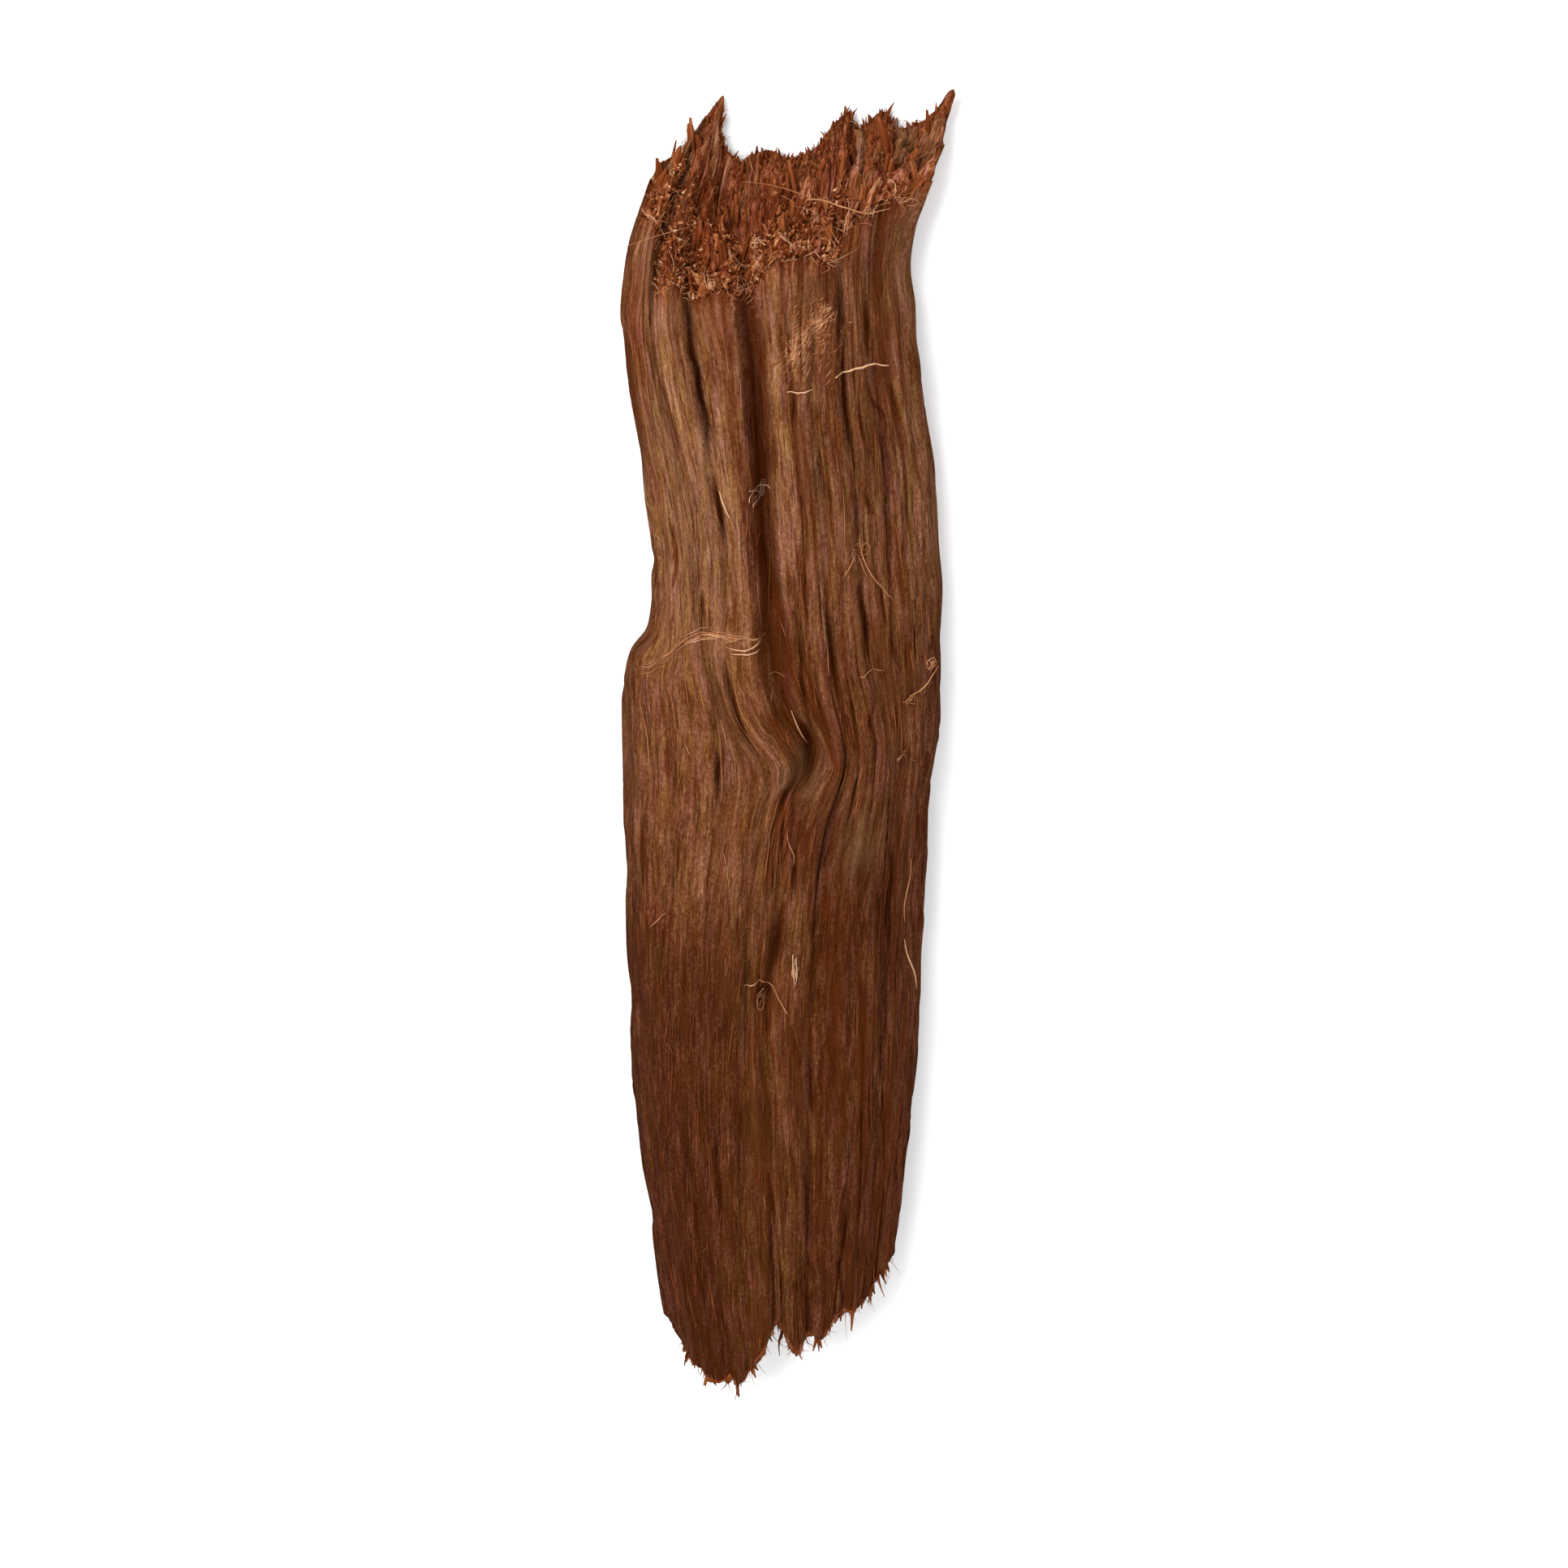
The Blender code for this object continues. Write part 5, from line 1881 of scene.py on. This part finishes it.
@dataclass
class FaceThreads:
    """Threads that lie on the outer face: along the grain, across the scratched patch below the
    torn rim, along the skin's torn edge, single whiskers, and small tangles."""

    name: str = "face_threads"
    draw: np.random.Generator = field(default_factory=lambda: np.random.default_rng(FACE_SEED))
    knots: int = 9
    along_grain: int = 700
    grain_start: Span = (1.0, 134.0)
    grain_length: Span = (1.2, 7.0)
    grain_radius: Span = (0.030, 0.070)
    loose: Span = (0.02, 0.26)
    foot_gap: float = 0.5
    rim_gap: float = 0.8
    scratches: int = 420
    in_band: float = 0.45
    patch: tuple[Span, Span] = ((2.4, 125.2), (1.7, 1.9))
    band: tuple[Span, Span] = ((0.7, 123.4), (4.8, 128.5))
    scratch_turn: Span = (0.66, 0.38)
    scratch_length: Span = (0.3, 1.3)
    scratch_radius: Span = (0.030, 0.080)
    band_tone: Span = (0.58, 0.88)
    patch_tone: Span = (0.30, 0.74)
    skin_threads: int = 34
    skin_start: Span = (-15.8, -6.0)
    skin_length: Span = (1.5, 6.0)
    skin_radius: Span = (0.035, 0.080)
    skin_tone: Span = (0.50, 0.84)
    tangle_threads: int = 6
    tangle_radius: Span = (0.026, 0.050)
    whiskers: tuple[Whisker, ...] = (
        Whisker((0.6, 119.9), (3.3, 119.9), 0.25, 0.12, 0.90),
        Whisker((5.6, 121.2), (11.2, 121.7), 0.45, 0.17, 0.84),
        Whisker((2.6, 139.6), (11.2, 138.0), 0.90, 0.10, 0.74),
        Whisker((-6.6, 109.0), (-5.4, 106.0), 0.40, 0.09, 0.95),
        Whisker((-5.9, 92.1), (-2.1, 92.6), 0.45, 0.13, 0.80),
        Whisker((-5.4, 91.4), (-2.3, 91.7), 0.40, 0.10, 0.86),
        Whisker((-6.1, 92.4), (-3.6, 93.2), 0.35, 0.09, 0.72),
        Whisker((-1.4, 88.3), (0.3, 87.9), 0.20, 0.08, 0.74),
        Whisker((8.1, 103.6), (12.0, 96.0), 0.50, 0.09, 0.70),
        Whisker((8.3, 88.4), (9.8, 88.9), 0.20, 0.07, 0.72),
        Whisker((9.8, 88.9), (11.0, 88.6), 0.15, 0.06, 0.66),
        Whisker((13.8, 85.0), (17.0, 87.6), 0.50, 0.08, 0.78),
        Whisker((13.6, 56.5), (15.1, 49.6), 0.25, 0.10, 0.86),
        Whisker((1.0, 83.8), (2.9, 79.6), 0.40, 0.12, 0.84),
        Whisker((0.6, 70.5), (1.2, 66.5), 0.20, 0.08, 0.70),
        Whisker((14.2, 66.0), (13.6, 58.5), 0.30, 0.08, 0.66),
        Whisker((-14.6, 58.4), (-12.7, 60.6), 0.30, 0.08, 0.62),
        Whisker((-4.2, 52.3), (-2.4, 53.0), 0.30, 0.10, 0.80),
        Whisker((-2.4, 53.0), (-0.9, 51.6), 0.30, 0.09, 0.76),
        Whisker((-0.9, 51.6), (0.7, 49.2), 0.25, 0.09, 0.72),
        Whisker((6.4, 99.2), (7.8, 101.9), 0.30, 0.08, 0.66),
        Whisker((7.8, 101.9), (9.2, 99.0), 0.30, 0.08, 0.66),
    )
    tangles: tuple[Tangle, ...] = (
        Tangle(-2.2, 108.3, 0.80, 1.00), Tangle(8.4, 102.6, 0.80, 0.66),
        Tangle(1.4, 54.6, 0.75, 0.92), Tangle(13.9, 84.6, 0.60, 0.72),
        Tangle(13.5, 78.3, 0.60, 0.62), Tangle(-2.2, 50.4, 0.70, 0.74),
        Tangle(16.3, 88.2, 0.42, 0.80), Tangle(-7.3, 131.0, 0.50, 0.86),
        Tangle(-2.7, 135.2, 0.40, 0.86),
    )

    def thinned(self, radius: Array, taper: float, power: float) -> Array:
        """Radii tapered to both ends: each thread's own times 1 - taper * |2t - 1|^power."""
        t = np.linspace(0, 1, self.knots)
        return radius[:, None] * (1 - taper * np.abs(2 * t - 1) ** power)

    def grain_threads(self) -> Batch:
        """Threads along the grain, lifted most at their middle or at one end.

        Returns:
            Their paths, radii and tones.
        """
        n, t = self.along_grain, np.linspace(0, 1, self.knots)
        share = self.draw.uniform(0.03, 0.97, n)[:, None] + self.draw.normal(0, 0.010, (n, 1)) * t
        shortest, longer = self.grain_length
        start = self.draw.uniform(*self.grain_start, n)[:, None]
        length = shortest + longer * self.draw.random((n, 1)) ** 2.0
        outer = np.zeros(n)
        foot = FORM.along_of(share[:, 0], outer, outer)[:, None] + self.foot_gap
        rim = FORM.along_of(share[:, 0], outer, outer + 1)[:, None] - self.rim_gap
        start = np.maximum(start, foot)
        along = np.minimum(start + length * t, rim)
        share = np.clip(share + 0.002 * np.sin(along * 0.7 + start), 0.02, 0.98)
        across = FORM.grain.across_of(share.ravel(), along.ravel()).reshape(share.shape)
        loose = self.draw.uniform(*self.loose, (n, 1)) ** 1.2
        lift = loose * np.where(self.draw.random((n, 1)) < 0.7, np.sin(np.pi * t), t**2)
        # Threads darken towards the foot, partly their own tone and partly painted shade.
        lower = smooth_step(80.0, 55.0, along[:, 0])
        tone = 0.36 + 0.16 * (across[:, 0] < 0) - 0.20 * lower + self.draw.normal(0, 0.10, n)
        radius = self.thinned(self.draw.uniform(*self.grain_radius, n), 0.6, 3)
        return on_face(across, along, lift - 0.01), radius, np.clip(tone, 0.05, 0.95)

    def scratch_threads(self) -> Batch:
        """Short bits of thread on the scratched patch: nearly half of them lie about the pale
        band that crosses it from lower left to upper right, and the others anywhere.

        Returns:
            Their paths, radii and tones.
        """
        n, t = self.scratches, np.linspace(0, 1, self.knots)
        (middle, middle_along), (wide, tall) = self.patch
        (left, low), (right, high) = self.band
        in_band = self.draw.random(n) < self.in_band
        way, off = self.draw.uniform(0, 1, n), self.draw.normal(0, 0.35, n)
        anywhere = self.draw.normal(middle, wide, n), self.draw.normal(middle_along, tall, n)
        across = np.where(in_band, left + (right - left) * way + off, anywhere[0])
        along = np.where(in_band, low + (high - low) * way - off, anywhere[1])
        turn = self.draw.normal(*self.scratch_turn, n)[:, None]
        length = self.draw.uniform(*self.scratch_length, n)[:, None]
        across = across[:, None] + length * (t - 0.5) * np.sin(turn)
        along = along[:, None] + length * (t - 0.5) * np.cos(turn)
        lift = self.draw.uniform(0.0, 0.10, (n, 1)) * np.sin(np.pi * t) + 0.01
        radius = self.thinned(self.draw.uniform(*self.scratch_radius, n), 0.5, 3)
        tones = self.draw.uniform(*self.band_tone, n), self.draw.uniform(*self.patch_tone, n)
        return on_face(across, along, lift), radius, np.where(in_band, *tones)

    def edge_threads(self) -> Batch:
        """Pale threads along the torn upper edge of the left lobe's skin.

        Returns:
            Their paths, radii and tones.
        """
        n, t = self.skin_threads, np.linspace(0, 1, self.knots)
        start = self.draw.uniform(*self.skin_start, n)[:, None]
        across = start + self.draw.uniform(*self.skin_length, n)[:, None] * t
        along = through(FORM.skin_edge, across.ravel()).reshape(across.shape)
        along = along + self.draw.normal(-0.2, 0.30, (n, 1))
        along = along + 0.12 * np.sin(1.1 * across + start)
        lift = self.draw.uniform(0.02, 0.20, (n, 1)) * np.sin(np.pi * t) + 0.01
        radius = self.thinned(self.draw.uniform(*self.skin_radius, n), 0.5, 2)
        return on_face(across, along, lift), radius, self.draw.uniform(*self.skin_tone, n)

    def single_whiskers(self) -> Batch:
        """The single whiskers, each from one place to another with a bow and a lift.

        Returns:
            Their paths, radii and tones.
        """
        n, t = len(self.whiskers), np.linspace(0, 1, self.knots)
        start = np.array([hair.start for hair in self.whiskers])[:, None]
        end = np.array([hair.end for hair in self.whiskers])[:, None]
        lift, radius, tone = np.array([(h.lift, h.radius, h.tone) for h in self.whiskers]).T
        across_way = (end - start)[..., ::-1] * [1, -1]
        bow = self.draw.normal(0, 0.04, (n, 1)) * np.sin(np.pi * t)
        bow = bow + self.draw.normal(0, 0.02, (n, 1)) * np.sin(6.5 * t)
        flat = start + (end - start) * t[None, :, None] + across_way * bow[..., None]
        up = lift[:, None] * (0.35 + 0.65 * np.sin(np.pi * t))
        return on_face(flat[..., 0], flat[..., 1], up), self.thinned(radius, 0.5, 2), tone

    def tangled_threads(self) -> Batch:
        """Small tangles: each thread is a smooth loop, a sum of two slow waves each way.

        Returns:
            Their paths, radii and tones.
        """
        rows = [(knot.across, knot.along, knot.size, knot.tone) for knot in self.tangles]
        rows = np.repeat(rows, self.tangle_threads, axis=0)
        n, t = len(rows), np.linspace(0, 1, self.knots)
        across, along, size, tone = (column[:, None] for column in rows.T)
        wave = self.draw.normal(0, 0.55, (4, n, 1))
        turn = self.draw.uniform(0, 2 * np.pi, (4, n, 1))
        x = size * (wave[0] * np.sin(7.5 * t + turn[0]) + wave[1] * np.sin(2.8 * t + turn[1]))
        y = size * 1.5 * (wave[2] * np.sin(5.5 * t + turn[2]) + wave[3] * np.sin(2 * t + turn[3]))
        lift = self.draw.uniform(0.05, 0.6, (n, 1)) * (0.4 + 0.6 * np.sin(np.pi * t)) + 0.02
        radius = self.thinned(self.draw.uniform(*self.tangle_radius, n), 0.0, 1)
        tones = np.clip(tone[:, 0] - 0.06 + self.draw.normal(0, 0.10, n), 0, 1)
        return on_face(across + x, along + y, lift), radius, tones

    def build(self, material: bpy.types.Material) -> bpy.types.Object:
        """Builds every batch as one piece.

        Args:
            material: their finish.

        Returns:
            The piece.
        """
        makers = (
            self.grain_threads, self.scratch_threads, self.edge_threads, self.single_whiskers,
            self.tangled_threads,
        )
        batches = [make() for make in makers]
        paths, radii, tones = (np.concatenate(part) for part in zip(*batches))
        return Threads(self.name, paths, radii, tones).build(material)


@dataclass(frozen=True)
class SoftLight:
    """A square soft light: its name, place and side in millimetres, and its power in watts."""

    name: str
    place: tuple[float, float, float]
    side: float
    watts: float


@dataclass
class Studio:
    """The pale floor, the soft lights and the camera, which looks down on the slab from the side
    of its torn end, as the upright piece is seen, with that end at the top of the picture."""

    look_down_off: float = 20.0
    lens: float = 85.0
    sensor: float = 36.0
    frame_height: float = 172.0
    target: tuple[float, float, float] = (0.0, 0.0, 7.0)
    floor_half: float = 1500.0
    surround: float = 1.0
    lights: tuple[SoftLight, ...] = (
        SoftLight("key", (-260.0, 260.0, 450.0), 300.0, 4.0),
        SoftLight("fill", (420.0, -80.0, 380.0), 420.0, 1.0),
    )

    def build_floor(self) -> None:
        """Builds the floor, a flat square."""
        size = self.floor_half * MM
        corners = [(-size, -size, 0), (size, -size, 0), (size, size, 0), (-size, size, 0)]
        mesh = bpy.data.meshes.new("floor")
        mesh.from_pydata(corners, [], [(0, 1, 2, 3)])
        mesh.materials.append(FloorFinish().make())
        floor = bpy.data.objects.new("floor", mesh)
        bpy.context.scene.collection.objects.link(floor)

    def build_light(self, look: SoftLight) -> None:
        """Adds a light that faces the slab.

        Args:
            look: the light's sizes.
        """
        data = bpy.data.lights.new(look.name, "AREA")
        data.shape, data.size, data.energy = "SQUARE", look.side * MM, look.watts
        light = bpy.data.objects.new(look.name, data)
        away = Vector(look.place) - Vector(self.target)
        turned = away.to_track_quat("Z", "Y").to_matrix().to_4x4()
        light.matrix_world = Matrix.Translation(Vector(look.place) * MM) @ turned
        bpy.context.scene.collection.objects.link(light)

    def build_surround(self) -> None:
        """Adds an even pale surround."""
        world = bpy.data.worlds.new("surround")
        world.use_nodes = True
        background = world.node_tree.nodes["Background"].inputs
        background["Color"].default_value = (1, 1, 1, 1)
        background["Strength"].default_value = self.surround
        bpy.context.scene.world = world

    def build_camera(self) -> None:
        """Adds the camera. Its distance is the framed height over 2 tan(half the angle of view)."""
        data = bpy.data.cameras.new("camera")
        data.lens, data.sensor_width = self.lens, self.sensor
        camera = bpy.data.objects.new("camera", data)
        distance = self.frame_height * self.lens / self.sensor
        tilt = math.radians(self.look_down_off)
        back = Vector((0.0, math.sin(tilt), math.cos(tilt)))
        up = Vector((0.0, math.cos(tilt), -math.sin(tilt)))
        turned = Matrix((up.cross(back), up, back)).transposed().to_4x4()
        place = (Vector(self.target) + back * distance) * MM
        camera.matrix_world = Matrix.Translation(place) @ turned
        bpy.context.scene.collection.objects.link(camera)
        bpy.context.scene.camera = camera

    def build(self) -> None:
        """Builds the floor, the lights from the upper left and the right, and the camera."""
        self.build_floor()
        for look in self.lights:
            self.build_light(look)
        self.build_surround()
        self.build_camera()
        bpy.context.scene.view_settings.view_transform = "Standard"


TORN_BATCHES = (
    TornFibres(
        "torn_blades", 150, End.TOP, (0.9, 2.2), (0.08, 0.18), (0.02, 0.42), 0.26, 0.14,
        widen=1.8, sides=4, seed=1, deep=(0.30, 0.97),
    ),
    TornFibres(
        "torn_crumbs", 2300, End.TOP, (0.30, 0.85), (0.10, 0.25), (0.00, 0.58), 0.95, 0.20,
        widen=1.2, sides=4, knots=3, seed=8, deep=(0.0, 0.55), lighter=0.30, sunk=0.0, bright=0.06,
        share=(0.04, 0.76),
    ),
    TornFibres(
        "torn_threads", 1000, End.TOP, (0.8, 2.2), (0.035, 0.080), (0.04, 0.56), 0.45, 0.30, seed=2,
    ),
    TornFibres(
        "torn_curls", 260, End.TOP, (1.0, 2.6), (0.030, 0.055), (0.30, 0.80), 0.70, 0.80,
        knots=8, seed=3,
    ),
    TornFibres(
        "torn_strays", 14, End.TOP, (4.0, 7.5), (0.055, 0.085), (0.48, 0.72), 1.10, 0.45,
        knots=12, seed=9, deep=(0.05, 0.60), lighter=0.1,
    ),
    TornFibres(
        "rim_fringe", 260, End.TOP, (0.8, 2.0), (0.035, 0.075), (0.38, 0.88), 0.80, 0.60,
        knots=7, seed=6, deep=(0.0, 0.06), sunk=0.4,
    ),
    TornFibres(
        "inner_fringe", 360, End.TOP, (0.6, 1.7), (0.06, 0.15), (0.04, 0.36), 0.24, 0.14,
        widen=1.8, sides=4, knots=4, seed=10, deep=(0.93, 1.0), lighter=0.15, sunk=0.5,
        share=(0.30, 0.93),
    ),
    TornFibres(
        "foot_blades", 260, End.FOOT, (1.5, 4.2), (0.07, 0.18), (0.03, 0.30), 0.16, 0.12,
        widen=2.0, sides=4, seed=4,
    ),
    TornFibres(
        "foot_threads", 1100, End.FOOT, (1.0, 3.2), (0.035, 0.085), (0.05, 0.46), 0.32, 0.28,
        seed=5,
    ),
)


def main() -> None:
    """Builds the slab, the broken ends, the splinters and threads, and the studio."""
    logging.basicConfig(level=logging.INFO, format="%(message)s")
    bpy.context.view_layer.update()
    thread = ThreadFinish().make()
    foot = TornBed(
        "foot_bed", End.FOOT, columns=240, rows=90, proud=0.35, out=(0.0, -0.98, 0.20), length=10.0,
        finish=BarkFinish("bark_foot"),
    )
    made = [BarkSlab().build(), TornBed().build(), foot.build()]
    made += [part.build(thread) for part in (EndSplinters(), FaceThreads(), *TORN_BATCHES)]
    for piece in made:
        LOG.info("%s: %d faces", piece.name, len(piece.data.polygons))
    Studio().build()


if __name__ == "__main__":
    main()
